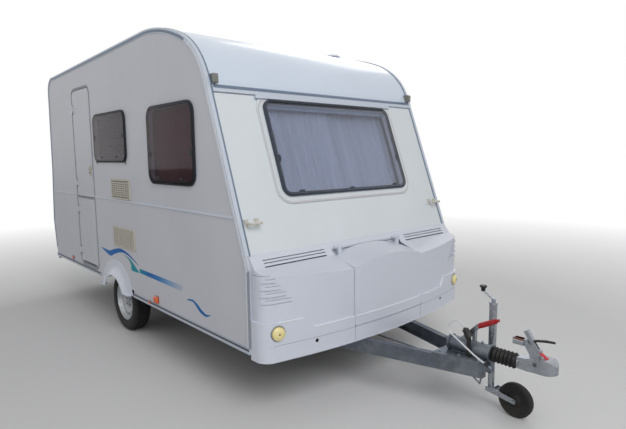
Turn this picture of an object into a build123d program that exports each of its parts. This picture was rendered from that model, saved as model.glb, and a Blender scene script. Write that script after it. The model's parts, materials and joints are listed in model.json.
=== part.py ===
"""Travel caravan, single axle, standing on its road wheels and its jockey wheel.

Frame: +X forward to the coupling, +Y to the left side, +Z up, millimetres. The ground is z = 0,
and the origin is on it, halfway along the overall length, on the middle plane.
"""
from build123d import *
import math
import os

os.makedirs("parts", exist_ok=True)

# Driving dimensions of the body, in mm
body_length = 4115             # rear knee to front knee
hitch_reach = 1405             # front knee to the coupling's nose
body_width = 2100
roof_top = 2579                # highest line of the roof
wall = 30                      # sandwich panel
wall_bottom = 470
floor_thickness = 40
front_knee_rise = 475          # from the wall's bottom to the foot of the slanted front
slope_run = 405                # length of the slanted front along X
slope_top_drop = 519           # from the roof top down to the head of the slanted front
rear_tuck = 68                 # how far the lower rear edge lies in front of the rear knee
rear_knee_rise = 430
trim_thickness = 3
trim_width = 34

# Running gear
wheel_radius = 285
tyre_width = 156
rim_radius = 183
axle_setback = 2165            # behind the front knee
wheel_inset = 129              # tyre's middle inside the wall's outer face
arch_play = 60                 # air between tyre and wheel housing
arm_length = 150
axle_tube_flats = 90
stub_radius = 17

# Hitch
drawbar_top = 378
drawbar_depth = 95
drawbar_sheet = 5
drawbar_flange = 45
drawbar_setback = 408          # front end of the beams behind the nose
drawbar_front_half = 72        # outer face from the middle plane, at the front end
draw_tube_radius = 25
ball_radius = 25

# Jockey wheel
jockey_setback = 470           # behind the nose
jockey_trail = 165
jockey_radius = 108
jockey_wheel_width = 48
jockey_outer_radius = 24
jockey_inner_radius = 20

# Chassis
chassis_inset = 430            # outer face of a rail inside the wall's outer face
chassis_depth = 120
rail_flange = 45
sheet = 4

# Entrance door, two halves in the right wall behind the wheel
door_setback = 473             # front edge behind the axle
door_width = 496
door_bottom = 528
door_top_drop = 276            # from the roof top
door_split = 1233
door_gap = 8
door_thickness = 25
door_corner = 60

hub_play = 0.05                # radial play of shafts and hinge pins
touch_gap = 0.3                # air between round faces that nearly touch

rear_x = -(body_length + hitch_reach) / 2
nose_x = -rear_x
knee_x = rear_x + body_length
half_width = body_width / 2
side_inner = half_width - wall
floor_top = wall_bottom + floor_thickness
knee_z = wall_bottom + front_knee_rise
slope_top_x, slope_top_z = knee_x - slope_run, roof_top - slope_top_drop
axle_x = knee_x - axle_setback
hub_half = half_width - wheel_inset
chassis_half = half_width - chassis_inset
chassis_bottom = wall_bottom - chassis_depth
far = 6000                     # beyond every piece, for cutting blocks
past = 5                       # how far a cutter runs past a face


def block(x0, x1, y0, y1, z0, z1):
    """A box between two corners."""
    middle = Pos((x0 + x1) / 2, (y0 + y1) / 2, (z0 + z1) / 2)
    return middle * Box(abs(x1 - x0), abs(y1 - y0), abs(z1 - z0))


def rod(start, end, radius):
    """A round bar between two points."""
    start, end = Vector(*start), Vector(*end)
    axis = end - start
    return extrude(Plane(origin=start, z_dir=axis) * Circle(radius), amount=axis.length)


def disc_y(x, z, radius, y0, y1):
    """A disc whose axis is along Y."""
    return rod((x, min(y0, y1), z), (x, max(y0, y1), z), radius)


def in_side(a, b):
    """A point of the side view."""
    return (a, 0, b)


def in_plan(a, b):
    """A point of the plan."""
    return (a, b, 0)


def face_of(points, lift):
    """A face from its outline; a point given as ('arc', a, b) is the middle of an arc."""
    edges = []
    here = points[0]
    index = 1
    while index <= len(points):
        end = points[index % len(points)]
        if end[0] == "arc":
            middle, end = end, points[(index + 1) % len(points)]
            edges.append(ThreePointArc(lift(*here), lift(*middle[1:]), lift(*end)))
            index += 2
        else:
            edges.append(Line(lift(*here), lift(*end)))
            index += 1
        here = end
    return Face(Wire(edges))


def side_face(points):
    """A face in the side view from its outline."""
    return face_of(points, in_side)


def slab(face, y0, y1):
    """The face in the side view drawn out from y0 to y1."""
    return Pos(0, min(y0, y1), 0) * extrude(face, amount=abs(y1 - y0), dir=(0, 1, 0))


def plan_slab(points, z0, z1):
    """An outline in the plan drawn up from z0 to z1."""
    return Pos(0, 0, z0) * extrude(face_of(points, in_plan), amount=z1 - z0, dir=(0, 0, 1))


def turned_y(points, x, y, z):
    """A turned piece whose axis is along Y, from (radius, distance along Y) points."""
    return Pos(x, y, z) * revolve(face_of(points, in_plan), Axis.Y, 360)


def turned_x(points, x, y, z):
    """A turned piece whose axis is along X, from (distance along X, radius) points."""
    return Pos(x, y, z) * revolve(face_of(points, in_plan), Axis.X, 360)


def turned_z(points, x, y, z):
    """A turned piece whose axis is along Z, from (radius, height) points."""
    return Pos(x, y, z) * revolve(face_of(points, in_side), Axis.Z, 360)


def both_sides(shape):
    """The shape and its mirror image in the middle plane."""
    return [shape, mirror(shape, about=Plane.XZ)]


def solids_of(shape):
    """Every solid of a shape or of a list of shapes."""
    if isinstance(shape, (list, tuple)):
        return [s for item in shape for s in solids_of(item)]
    return list(shape.solids())


def save(name, shape):
    """Write one node."""
    found = solids_of(shape)
    if not found:
        raise ValueError(name + " is empty")
    export_step(found[0] if len(found) == 1 else Compound(children=found), "parts/" + name + ".step")


# The body's side outline: (x, z) points, with the middles of its arcs
rear_knee_z = wall_bottom + rear_knee_rise
outline = [
    (rear_x + rear_tuck, wall_bottom),
    (knee_x, wall_bottom),
    (knee_x, knee_z),
    (slope_top_x, slope_top_z),
    ("arc", knee_x - 535, roof_top - 273),
    (knee_x - 785, roof_top - 107),
    ("arc", knee_x - 1045, roof_top - 30),
    (knee_x - 1335, roof_top),
    (rear_x + 834, roof_top - 41),
    (rear_x + 320, roof_top - 51),
    ("arc", rear_x + 178, roof_top - 101),
    (rear_x + 130, roof_top - 229),
    (rear_x + 83, rear_knee_z + 600),
    (rear_x, rear_knee_z),
]
body_face = side_face(outline)
inner_face = offset(body_face, amount=-wall)
body_solid = slab(body_face, -half_width - far, half_width + far)


def side_prism(x0, x1, z0, z1, y0, y1, corner):
    """A rounded rectangular prism along Y."""
    plane = Plane(origin=((x0 + x1) / 2, min(y0, y1), (z0 + z1) / 2), x_dir=(1, 0, 0), z_dir=(0, 1, 0))
    return extrude(plane * RectangleRounded(x1 - x0, z1 - z0, corner), amount=abs(y1 - y0))


# Side windows: side (-1 right, +1 left), x0, x1, z0, z1, corner radius
front_window_x0, front_window_x1 = knee_x - 1295, knee_x - 610
side_windows = [
    (-1, front_window_x0, front_window_x1, 1445, 1987, 66),
    (-1, axle_x - 338, axle_x + 384, 1607, 2006, 56),
    (+1, front_window_x0, front_window_x1, 1445, 1987, 66),
    (+1, rear_x + 428, rear_x + 1292, 1445, 1987, 66),
]
arch_radius = wheel_radius + arch_play
door_x1 = axle_x - door_setback
door_x0 = door_x1 - door_width
door_z0, door_z1 = door_bottom, roof_top - door_top_drop


# Bottom rails, split by the spat: the wall runs down to the front one
spat_radius = wheel_radius + 100
rail_clear = 12                # from the spat
front_rail_drop, rear_rail_drop, rail_height = 58, 8, 35
front_rail_x0 = axle_x + spat_radius + rail_clear
front_rail_top = wall_bottom - front_rail_drop + rail_height


def side_wall(side):
    """One side wall with its windows, arch and, on the right, the doorway."""
    inside, outside = side * (side_inner - past), side * (half_width + past)
    panel = slab(body_face, side * side_inner, side * half_width)
    for window_side, x0, x1, z0, z1, corner in side_windows:
        if window_side == side:
            panel -= side_prism(x0, x1, z0, z1, inside, outside, corner)
    panel -= disc_y(axle_x, wheel_radius, arch_radius, inside, outside)
    skirt_y = sorted((side * side_inner, side * half_width))
    panel += block(front_rail_x0, knee_x, skirt_y[0], skirt_y[1], front_rail_top, wall_bottom)
    if side < 0:
        g = door_gap
        panel -= side_prism(door_x0 - g, door_x1 + g, door_z0 - g, door_z1 + g, inside, outside, door_corner + g)
    return panel


save("side_wall_right", side_wall(-1))
save("side_wall_left", side_wall(+1))

# Roof, front and rear panels lie between the side walls, and the floor between front and rear
belt = slab(body_face, -side_inner, side_inner) - slab(inner_face, -side_inner - past, side_inner + past)
floor_x0, floor_x1 = rear_x + rear_tuck + wall + 7, knee_x - wall
belt -= block(floor_x0, floor_x1, -side_inner - past, side_inner + past, wall_bottom - past, floor_top)
roof_rear_z = roof_top - 229
above_front = block(0, far, -far, far, slope_top_z, far)
above_rear = block(-far, 0, -far, far, roof_rear_z, far)
roof = (belt & above_front) + (belt & above_rear)
front = belt & block(0, far, -far, far, 0, slope_top_z)
rear = belt & block(-far, 0, -far, far, 0, roof_rear_z)

# Openings in the roof for the rooflight and the round vent
rooflight_x, rooflight_half = axle_x + 160, 200
roof_vent_x, roof_vent_y = knee_x - 1255, half_width - 150
roof_vent_bore = 40
roof -= block(rooflight_x - rooflight_half, rooflight_x + rooflight_half, -rooflight_half, rooflight_half,
              roof_top - 200, far)
roof -= rod((roof_vent_x, roof_vent_y, roof_top - 200), (roof_vent_x, roof_vent_y, far), roof_vent_bore)

# The slanted front and its window, drawn on the slope's own plane
slope = Vector(slope_top_x - knee_x, 0, slope_top_z - knee_z).normalized()
slope_normal = Vector(slope.Z, 0, -slope.X)
front_window_half = half_width - 395
front_window_low, front_window_high = knee_z + 405, slope_top_z - 57
window_corner = 70
frame_width = 25               # of a window's rubber frame
surround_proud = 10            # moulded surround of the front window
surround_margin = 50
frame_proud = 13
pane_thickness = 5


def on_slope(z):
    """The point of the slanted face at a height."""
    share = (z - knee_z) / (slope_top_z - knee_z)
    return Vector(knee_x + share * (slope_top_x - knee_x), 0, z)


front_window_length = (on_slope(front_window_high) - on_slope(front_window_low)).length
front_plane = Plane(origin=on_slope((front_window_low + front_window_high) / 2), x_dir=(0, 1, 0), z_dir=slope_normal)


def front_prism(margin, depth0, depth1):
    """A rounded prism square to the slanted front, larger than the window by a margin all round."""
    shape = RectangleRounded(2 * (front_window_half + margin), front_window_length + 2 * margin, window_corner + margin)
    return extrude(front_plane.offset(depth0) * shape, amount=depth1 - depth0)


front += front_prism(surround_margin, 0, surround_proud)
front -= front_prism(-frame_width, -2 * wall, 2 * wall)

# Rear window
rear_window_half, rear_window_z0, rear_window_z1 = half_width - 490, 1560, 2080
rear_wall_x = rear_x + 92      # rear panel's outer face near the window's foot


def rear_prism(margin, x0, x1):
    """A rounded prism along X, larger than the rear window by a margin all round."""
    plane = Plane(origin=(x0, 0, (rear_window_z0 + rear_window_z1) / 2), x_dir=(0, 1, 0), z_dir=(1, 0, 0))
    height = rear_window_z1 - rear_window_z0 + 2 * margin
    return extrude(plane * RectangleRounded(2 * (rear_window_half + margin), height, window_corner + margin), amount=x1 - x0)


rear -= rear_prism(-frame_width, rear_wall_x - 150, rear_wall_x + 150)
save("roof_panel", roof)
save("front_panel", front)
save("rear_panel", rear)

# Floor with the two wheel cut-outs
cut_half = math.sqrt(arch_radius ** 2 - (wall_bottom - wheel_radius) ** 2)
housing_inner = hub_half - tyre_width / 2 - 53
floor = block(floor_x0, floor_x1, -side_inner, side_inner, wall_bottom, floor_top)
for side in (-1, 1):
    floor -= block(axle_x - cut_half, axle_x + cut_half, side * housing_inner, side * (side_inner + past),
                   wall_bottom - past, floor_top + past)
save("floor_panel", floor)

# Wheel housings: a half drum over each wheel, open below and outwards
housing = disc_y(axle_x, wheel_radius, arch_radius, housing_inner, side_inner)
housing -= disc_y(axle_x, wheel_radius, arch_radius - sheet, housing_inner + sheet, side_inner + past)
housing &= block(axle_x - cut_half, axle_x + cut_half, 0, half_width, wall_bottom, far)
save("wheel_housings", both_sides(housing))

# Spats: a moulded ring that flares out towards the wheel, with a foot at each end
spat_opening = wheel_radius - 49
spat_z = wheel_radius + 19
spat_foot_z = wall_bottom - 58
spat_skin = 4
flare = 40
# (radius, distance out of the wall): the skin's outer line and its inner line back again
spat = turned_y([
    (spat_radius, 0), (spat_radius, spat_skin),
    ("arc", spat_radius - 75, 14), (spat_opening + 12, flare - 3),
    (spat_opening, flare), (spat_opening, flare - 6),
    (spat_opening + 10, flare - 9),
    ("arc", spat_radius - 78, 8), (spat_radius - 40, 0),
], axle_x, half_width, spat_z)
spat &= block(-far, far, 0, far, spat_foot_z, far)
for way in (-1, 1):
    foot_ends = (axle_x + way * (spat_opening + 4), axle_x + way * (spat_radius - 40))
    spat += block(min(foot_ends), max(foot_ends), half_width, half_width + flare + 4, spat_foot_z, spat_foot_z + 5)
save("wheel_spats", both_sides(spat))

# Aluminium corner trims round the side outline, L section
grown_face = offset(body_face, amount=trim_thickness)
shrunk_face = offset(body_face, amount=-trim_width)
strip_rise = 75                # locker's top edge above the front knee
trim = slab(grown_face, half_width - trim_width, half_width + trim_thickness)
trim -= slab(body_face, half_width - trim_width - past, half_width)
trim -= slab(shrunk_face, half_width - past, half_width + trim_thickness + past)
trim &= block(-far, far, 0, far, wall_bottom + 90, far)
trim -= block(knee_x - 200, far, 0, far, 0, knee_z + strip_rise + 1)
low_trim = slab(body_face, half_width, half_width + trim_thickness)
low_trim -= slab(shrunk_face, half_width - past, half_width + trim_thickness + past)
low_trim &= block(knee_x - 2 * trim_width, far, 0, far, wall_bottom, knee_z + strip_rise + 1)
low_trim -= block(0, knee_x - trim_width, 0, far, 0, knee_z - trim_width)
trim += low_trim + block(knee_x - trim_width, knee_x, half_width, half_width + trim_thickness, front_rail_top,
                         wall_bottom)
save("corner_trims", both_sides(trim))

# Bottom rails along each side
rail_proud = 8


def side_rail(x0, x1, drop):
    """A rail under the wall's lower edge, with a lip outside it."""
    rail_z = wall_bottom - drop
    under = block(x0, x1, side_inner, half_width, rail_z, min(rail_z + rail_height, wall_bottom))
    lip = block(x0, x1, half_width, half_width + rail_proud, rail_z, rail_z + rail_height)
    return under + lip


rails = [
    side_rail(front_rail_x0, knee_x, front_rail_drop),
    side_rail(rear_x + rear_tuck + 4, axle_x - spat_radius - rail_clear, rear_rail_drop),
]
save("side_rails", [both_sides(rail) for rail in rails])

# Cross rail over the front, grooved along its length, and the window's hinge rail below it
cross_rail_plane = Plane(origin=on_slope(slope_top_z), x_dir=(0, 1, 0), z_dir=slope_normal)
cross_rail_length = 2 * (half_width - trim_width - 1)
cross_rail = extrude(cross_rail_plane * Rectangle(cross_rail_length, 46), amount=12) - body_solid
cross_rail -= front_prism(surround_margin, -past, surround_proud)
cross_rail -= extrude(cross_rail_plane.offset(9) * Rectangle(cross_rail_length + past, 8), amount=past)
hinge_rail_length = 2 * (front_window_half + surround_margin - 4)
hinge_rail_plane = Plane(origin=on_slope(slope_top_z) - slope * 40, x_dir=(0, 1, 0), z_dir=slope_normal)
hinge_rail = extrude(hinge_rail_plane * Rectangle(hinge_rail_length, 26), amount=24)
hinge_rail -= front_prism(surround_margin, -past, surround_proud)
save("front_rails", [cross_rail, hinge_rail])

# Windows: rubber frames on the walls, and panes with bevelled edges on the frames
pane_lap = 8                   # frame seen round a pane
front_frame = front_prism(0, surround_proud, surround_proud + frame_proud) - front_prism(-frame_width, 0, 2 * wall)
save("front_window_frame", front_frame)
pane_foot = surround_proud + frame_proud
save("front_window_pane", front_prism(-pane_lap, pane_foot, pane_foot + pane_thickness))
frames, panes = [], []
for side, x0, x1, z0, z1, corner in side_windows:
    lap = frame_width - 3
    wall_y, frame_y = side * half_width, side * (half_width + frame_proud)
    frame = side_prism(x0 - lap, x1 + lap, z0 - lap, z1 + lap, wall_y, frame_y, corner + lap)
    frame -= side_prism(x0, x1, z0, z1, wall_y - side * past, frame_y + side * past, corner)
    frames.append(frame)
    lap -= pane_lap
    pane = side_prism(x0 - lap, x1 + lap, z0 - lap, z1 + lap, frame_y, frame_y + side * pane_thickness, corner + lap)
    outer_face = pane.faces().sort_by(Axis.Y)[-1 if side > 0 else 0]
    panes.append(chamfer(outer_face.edges(), pane_thickness - 2))
save("side_window_frames", frames)
save("side_window_panes", panes)
rear_pane_x = rear_wall_x - frame_proud - 5
rear_frame = rear_prism(0, rear_pane_x, rear_wall_x + 60) - rear_prism(-frame_width, rear_wall_x - 150, rear_wall_x + 150)
save("rear_window_frame", rear_frame - body_solid)
save("rear_window_pane", rear_prism(-pane_lap, rear_pane_x - pane_thickness, rear_pane_x))

# Louvred vents on the right wall: x0, x1, z0, z1
vents = [(axle_x + 23, axle_x + 441, 1261, 1439), (axle_x + 13, axle_x + 486, 823, 1008)]
vent_proud, vent_border, vent_pocket = 12, 16, 9
louvre_pitch, louvre_thickness = 19, 3
vent_ribs = 3
vent_plates = []
for x0, x1, z0, z1 in vents:
    face_y = -half_width - vent_proud
    plate = side_prism(x0, x1, z0, z1, face_y, -half_width, 14)
    plate -= side_prism(x0 + vent_border, x1 - vent_border, z0 + vent_border, z1 - vent_border,
                        face_y - past, face_y + vent_pocket, 4)
    rows = int((z1 - z0 - 2 * vent_border) / louvre_pitch)
    start = (z0 + z1) / 2 - (rows - 1) * louvre_pitch / 2
    for row in range(rows):
        z = start + row * louvre_pitch
        slat = extrude(face_of([
            (face_y + 1, z - 7), (face_y + vent_pocket, z + 4),
            (face_y + vent_pocket, z + 4 + louvre_thickness), (face_y + 1, z - 7 + louvre_thickness),
        ], lambda a, b: (0, a, b)), amount=x1 - x0 - 2 * vent_border + 2, dir=(1, 0, 0))
        plate += Pos(x0 + vent_border - 1, 0, 0) * slat
    for rib in range(1, vent_ribs + 1):
        x = x0 + rib * (x1 - x0) / (vent_ribs + 1)
        plate += block(x - 3, x + 3, face_y + 1, face_y + vent_pocket, z0 + vent_border - 1, z1 - vent_border + 1)
    vent_plates.append(plate)
save("fridge_vents", vent_plates)

# Belt moulding along each side wall, clear of the door and below the upper vent
belt_z, belt_half_height, belt_proud = 1248, 8, 5
belt_y0, belt_y1 = half_width, half_width + belt_proud
belt_rear_x, belt_front_x = rear_x + 94, on_slope(belt_z).X - trim_width - 12


def belt_moulding(x0, x1, side):
    """A half-round strip on a side wall."""
    strip = side_prism(x0, x1, belt_z - belt_half_height, belt_z + belt_half_height, side * belt_y0, side * belt_y1, 3)
    return strip


save("belt_mouldings", [
    belt_moulding(belt_rear_x, door_x0 - 60, -1),
    belt_moulding(door_x1 + 30, belt_front_x, -1),
    belt_moulding(belt_rear_x, belt_front_x, +1),
])

# Service flaps on the left wall: x0, x1, z0, z1
flaps = [
    (axle_x - 700, axle_x - 540, 640, 800),
    (axle_x + 620, axle_x + 760, 640, 780),
]
flap_proud = 14
flap_solids = []
for x0, x1, z0, z1 in flaps:
    flap = side_prism(x0, x1, z0, z1, half_width, half_width + flap_proud, 12)
    inner = side_prism(x0 + 12, x1 - 12, z0 + 12, z1 - 12, half_width + flap_proud - 3, half_width + flap_proud + past, 8)
    raised = side_prism(x0 + 14, x1 - 14, z0 + 14, z1 - 14, half_width + 2, half_width + flap_proud + 2, 7)
    flap_solids.append(flap - inner + raised)
save("service_flaps", flap_solids)

# Doorway lining and the door halves
stop_lap, stop_depth = 8, 12
lining_lap = 14
lining_y = -side_inner
g = door_gap
lining = side_prism(door_x0 - g - lining_lap, door_x1 + g + lining_lap, door_z0 - 8, door_z1 + g + lining_lap,
                    lining_y, lining_y + stop_depth, door_corner + g)
lining -= side_prism(door_x0 + stop_lap, door_x1 - stop_lap, door_z0 + stop_lap, door_z1 - stop_lap,
                     lining_y - past, lining_y + stop_depth + past, door_corner - stop_lap)
save("door_lining", lining)
leaf = side_prism(door_x0, door_x1, door_z0, door_z1, -half_width, -half_width + door_thickness, door_corner)
hinge_x, hinge_y = door_x0 - 4, -half_width - 9
knuckle_radius, hinge_pin_radius = 7.5, 3.5
knuckle_half = 30
lug_length = 20
hinge_leaf_thickness = 6


def door_hinge(z):
    """A knuckle with its arm on the leaf, and the pin with two lugs on the wall."""
    foot_y = -half_width - hinge_leaf_thickness
    knuckle = rod((hinge_x, hinge_y, z - knuckle_half), (hinge_x, hinge_y, z + knuckle_half), knuckle_radius)
    arm = block(hinge_x, door_x0 + 44, foot_y, -half_width, z - knuckle_half, z + knuckle_half)
    bore = rod((hinge_x, hinge_y, z - far / 10), (hinge_x, hinge_y, z + far / 10), hinge_pin_radius + hub_play)
    reach = knuckle_half + lug_length - 6
    pin = rod((hinge_x, hinge_y, z - reach), (hinge_x, hinge_y, z + reach), hinge_pin_radius)
    for end in (-1, 1):
        ends = sorted((z + end * (knuckle_half + 1), z + end * (knuckle_half + 1 + lug_length)))
        pin += rod((hinge_x, hinge_y, ends[0]), (hinge_x, hinge_y, ends[1]), knuckle_radius)
        pin += block(hinge_x - 40, hinge_x, foot_y, -half_width, ends[0], ends[1])
    return knuckle + arm - bore, pin


upper = leaf & block(-far, far, -far, far, door_split + g / 2, far)
lower = leaf & block(-far, far, -far, far, 0, door_split - g / 2)
hinge_pins = []
for z in (door_split + 140, door_z1 - 180):
    knuckle, pin = door_hinge(z)
    upper += knuckle
    hinge_pins.append(pin)
for z in (door_z0 + 130, door_split - 140):
    knuckle, pin = door_hinge(z)
    lower += knuckle
    hinge_pins.append(pin)
save("door_upper", upper)
save("door_lower", lower)
save("door_hinge_pins", hinge_pins)
lock_x, lock_z = door_x1 - 48, door_split + 268
handle = side_prism(lock_x - 27, lock_x + 27, lock_z - 50, lock_z + 50, -half_width - 6, -half_width, 10)
handle += rod((lock_x, -half_width - 14, lock_z - 18), (lock_x, -half_width - 5, lock_z - 18), 11)
handle += side_prism(lock_x - 20, lock_x + 20, lock_z + 4, lock_z + 36, -half_width - 18, -half_width - 5, 6)
save("door_handle", handle)

# Front locker: moulded shell bowed in plan, with a lid between two seams
locker_depth = 250             # ahead of the front knee, on the middle plane
locker_bow = 125               # how far the corners lie behind that
locker_bottom = drawbar_top + 2
locker_skin = 5
locker_corner = 90
locker_recess = 12             # upper faces behind the lower band
locker_reach = knee_x + locker_depth
shelf_back_x = knee_x + 40
shelf_fall = 0.37              # slope of the shelf
band_z, band_step_z, band_step_half = wall_bottom + 90, wall_bottom + 160, half_width - 300
lid_half, lid_gap = 360, 6
lid_bottom = wall_bottom + 22
lid_proud = 8                  # lid's face ahead of the upper faces beside it
lid_crown_radius = 1294
lid_rear_x, lid_rear_z = knee_x + 25, knee_z + 40
lid_fall = 0.213               # slope of the lid's crown line
beyond = 50                    # how far a profile runs past the locker's face


def bowed_plan(inset):
    """The locker's plan, moved inward."""
    half = half_width - 4 - inset
    reach = locker_reach - inset
    shoulder = reach - locker_bow
    return [(knee_x - far / 10, -half), (shoulder, -half), ("arc", reach, 0), (shoulder, half),
            (knee_x - far / 10, half)]


def bowed_block(inset, z0, z1):
    """An upright block with the locker's plan and its two round corners."""
    form = plan_slab(bowed_plan(inset), z0, z1)
    corners = form.edges().filter_by(Axis.Z).sort_by(Axis.X)[-2:]
    return fillet(corners, locker_corner - inset)


def locker_form(inset, recess):
    """The locker's form under its sloping shelf, moved inward by a skin and set back by a recess."""
    end_x = locker_reach + beyond
    lower = 1.1 * inset
    shelf_z = knee_z - lower
    strip_z = knee_z + strip_rise - lower
    profile = side_face([
        (knee_x - beyond, locker_bottom + inset), (end_x, locker_bottom + inset),
        (end_x, shelf_z - shelf_fall * (end_x - shelf_back_x)), (shelf_back_x - inset, shelf_z),
        (knee_x - 15 - inset, strip_z), (knee_x - beyond, strip_z),
    ])
    return bowed_block(inset + recess, locker_bottom, knee_z + strip_rise) & slab(profile, -far, far)


def below_band(inset):
    """Everything below the ledge of the lower band."""
    middle = block(-far, far, -band_step_half, band_step_half, 0, band_z - inset)
    return middle + block(-far, far, -far, far, 0, band_step_z - inset) - block(
        -far, far, -band_step_half, band_step_half, band_z - inset, far)


def lid_form(inset):
    """The lid's form under its crown, moved inward."""
    reach = far / 10
    axis_z = lid_rear_z - lid_crown_radius * math.hypot(1, lid_fall)
    crown = rod((lid_rear_x - reach, 0, axis_z + lid_fall * reach),
                (lid_rear_x + reach, 0, axis_z - lid_fall * reach), lid_crown_radius - inset)
    proud = bowed_block(locker_recess - lid_proud + inset, locker_bottom, knee_z + strip_rise)
    return ((bowed_block(inset, locker_bottom, band_z - inset) + proud) & crown)


outer_form = (locker_form(0, 0) & below_band(0)) + locker_form(0, locker_recess)
inner_form = (locker_form(locker_skin, 0) & below_band(locker_skin)) + locker_form(locker_skin, locker_recess)
behind_front = body_solid + block(-far, knee_x, -far, far, 0, wall_bottom)
shell = outer_form - inner_form - behind_front
seam_half = lid_half + lid_gap
shell -= block(knee_x + 8, far, -seam_half, seam_half, lid_bottom - lid_gap, far)
lid_box = block(knee_x + 17, far, -lid_half, lid_half, lid_bottom, far)
inside_lid = block(-far, far, -lid_half + locker_skin, lid_half - locker_skin, 0, far)
lid = (lid_form(0) & lid_box) - (lid_form(locker_skin) & inside_lid)

# Slots in the strip behind the shelf, and fins on the upper faces: heights above the front knee
strip_slots = [(40, 46), (23, 29), (2, 10)]
strip_slot_y0, strip_slot_y1 = 430, half_width - 100
fins = [(-60, half_width - 102), (-105, half_width - 134), (-147, half_width - 166), (-189, half_width - 206)]
fin_half_height, fin_proud = 10, 7
for low, high in strip_slots:
    for side in (-1, 1):
        shell -= block(knee_x - 40, shelf_back_x + 10, side * strip_slot_y0, side * strip_slot_y1,
                       knee_z + low, knee_z + high)
for rise, inner_y in fins:
    ring = locker_form(0, locker_recess - fin_proud) - locker_form(0, locker_recess + 1)
    for side in (-1, 1):
        shell += ring & block(knee_x + 90, far, side * inner_y, side * far,
                              knee_z + rise - fin_half_height, knee_z + rise + fin_half_height)

# Round lamps in pockets at the corners, and two vent holes low in the band
lamp_x, lamp_y, lamp_z, lamp_turn = locker_reach - 92, half_width - 100, wall_bottom + 91, 12.5
lamp_radius, lamp_pocket_radius, lamp_pocket_depth = 42, 50, 14
lamp_place = Pos(lamp_x, lamp_y, lamp_z) * Rot(0, 0, lamp_turn)
cup = lamp_place * rod((-lamp_pocket_depth - locker_skin, 0, 0), (0, 0, 0), lamp_pocket_radius + locker_skin)
pocket = lamp_place * rod((-lamp_pocket_depth, 0, 0), (beyond, 0, 0), lamp_pocket_radius)
for item in both_sides(cup):
    shell += item & outer_form
for item in both_sides(pocket):
    shell -= item
for side in (-1, 1):
    hole_y = side * (half_width - 374)
    shell -= rod((locker_reach - 120, hole_y, wall_bottom - 8), (locker_reach + beyond, hole_y, wall_bottom - 8), 12)
lamp = lamp_place * turned_x([
    (-lamp_pocket_depth, 0), (-lamp_pocket_depth, lamp_radius), (2, lamp_radius),
    (4, lamp_radius - 4), ("arc", 12, 22), (14, 8), (14, 0),
], 0, 0, 0)
save("front_lamps", both_sides(lamp))

# Lid hinges: an ear on the lid, and a pin between two lugs of the shell
lid_pivot_x, lid_pivot_z = knee_x + 29, knee_z + 47
ear_y0, ear_y1 = 300, 330
ear_play, lug_length = 6, 10
lug_radius, lid_pin_radius, ear_radius = 10, 4, 9
for side in (-1, 1):
    y0, y1 = side * ear_y0, side * ear_y1
    lid += disc_y(lid_pivot_x, lid_pivot_z, ear_radius, y0, y1)
    lid += block(lid_pivot_x, lid_pivot_x + 16, y0, y1, lid_pivot_z - 62, lid_pivot_z + 2)
    lid -= disc_y(lid_pivot_x, lid_pivot_z, lid_pin_radius + hub_play, y0 - side * past, y1 + side * past)
    for edge in (ear_y0 - ear_play - lug_length, ear_y1 + ear_play):
        lug_y0, lug_y1 = side * edge, side * (edge + lug_length)
        shell += disc_y(lid_pivot_x, lid_pivot_z, lug_radius, lug_y0, lug_y1)
        shell += block(knee_x - 5, lid_pivot_x, lug_y0, lug_y1, lid_pivot_z - 4, lid_pivot_z + 8)
    pin_y0, pin_y1 = side * (ear_y0 - ear_play - lug_length / 2), side * (ear_y1 + ear_play + lug_length / 2)
    shell += disc_y(lid_pivot_x, lid_pivot_z, lid_pin_radius, pin_y0, pin_y1)
save("locker_shell", shell)
save("locker_lid", lid)

# Chassis under the floor: two channel rails with round openings, and four cross members
rail_x0, rail_x1 = rear_x + 200, knee_x - 155
cross_x = [rear_x + 360, axle_x - 690, knee_x - 795, knee_x - 255]
cross_width = 50
web_hole_radius, web_hole_pitch = 26, 400


def channel(x0, x1, outer, z0, z1, flange):
    """A channel along X, open towards the middle plane."""
    web = block(x0, x1, outer - sheet, outer, z0, z1)
    low = block(x0, x1, outer - flange, outer, z0, z0 + sheet)
    high = block(x0, x1, outer - flange, outer, z1 - sheet, z1)
    return web + low + high


rail = channel(rail_x0, rail_x1, chassis_half, chassis_bottom, wall_bottom, rail_flange)
hole_count = int((rail_x1 - rail_x0) / web_hole_pitch)
first_hole_x = (rail_x0 + rail_x1 - (hole_count - 1) * web_hole_pitch) / 2
for index in range(hole_count):
    rail -= disc_y(first_hole_x + index * web_hole_pitch, (chassis_bottom + wall_bottom) / 2, web_hole_radius,
                   chassis_half - sheet - past, chassis_half + past)
chassis = rail + mirror(rail, about=Plane.XZ)
for x in cross_x:
    bar = block(x, x + cross_width, -(chassis_half - sheet), chassis_half - sheet, drawbar_top, wall_bottom)
    bar -= block(x + sheet, x + cross_width - sheet, -far, far, drawbar_top - past, wall_bottom - sheet)
    chassis += bar
save("chassis_frame", chassis)

# Drawbar: two angled channel beams from under the floor to the coupling's housing
drawbar_front_x = nose_x - drawbar_setback
drawbar_back_x = knee_x - 793
drawbar_back_half = chassis_half - sheet - 43
drawbar_slope = (drawbar_back_half - drawbar_front_half) / (drawbar_front_x - drawbar_back_x)
drawbar_bottom = drawbar_top - drawbar_depth
draw_axis_z = drawbar_top + 50


def drawbar_half(x):
    """Outer face of the drawbar beam at x."""
    return drawbar_front_half + (drawbar_front_x - x) * drawbar_slope


def along_beam(x0, x1, inner, outer, z0, z1):
    """A strip that follows the left beam, at distances inside its outer face."""
    y0, y1 = drawbar_half(x0), drawbar_half(x1)
    return plan_slab([(x0, y0 - outer), (x1, y1 - outer), (x1, y1 - inner), (x0, y0 - inner)], z0, z1)


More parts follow.
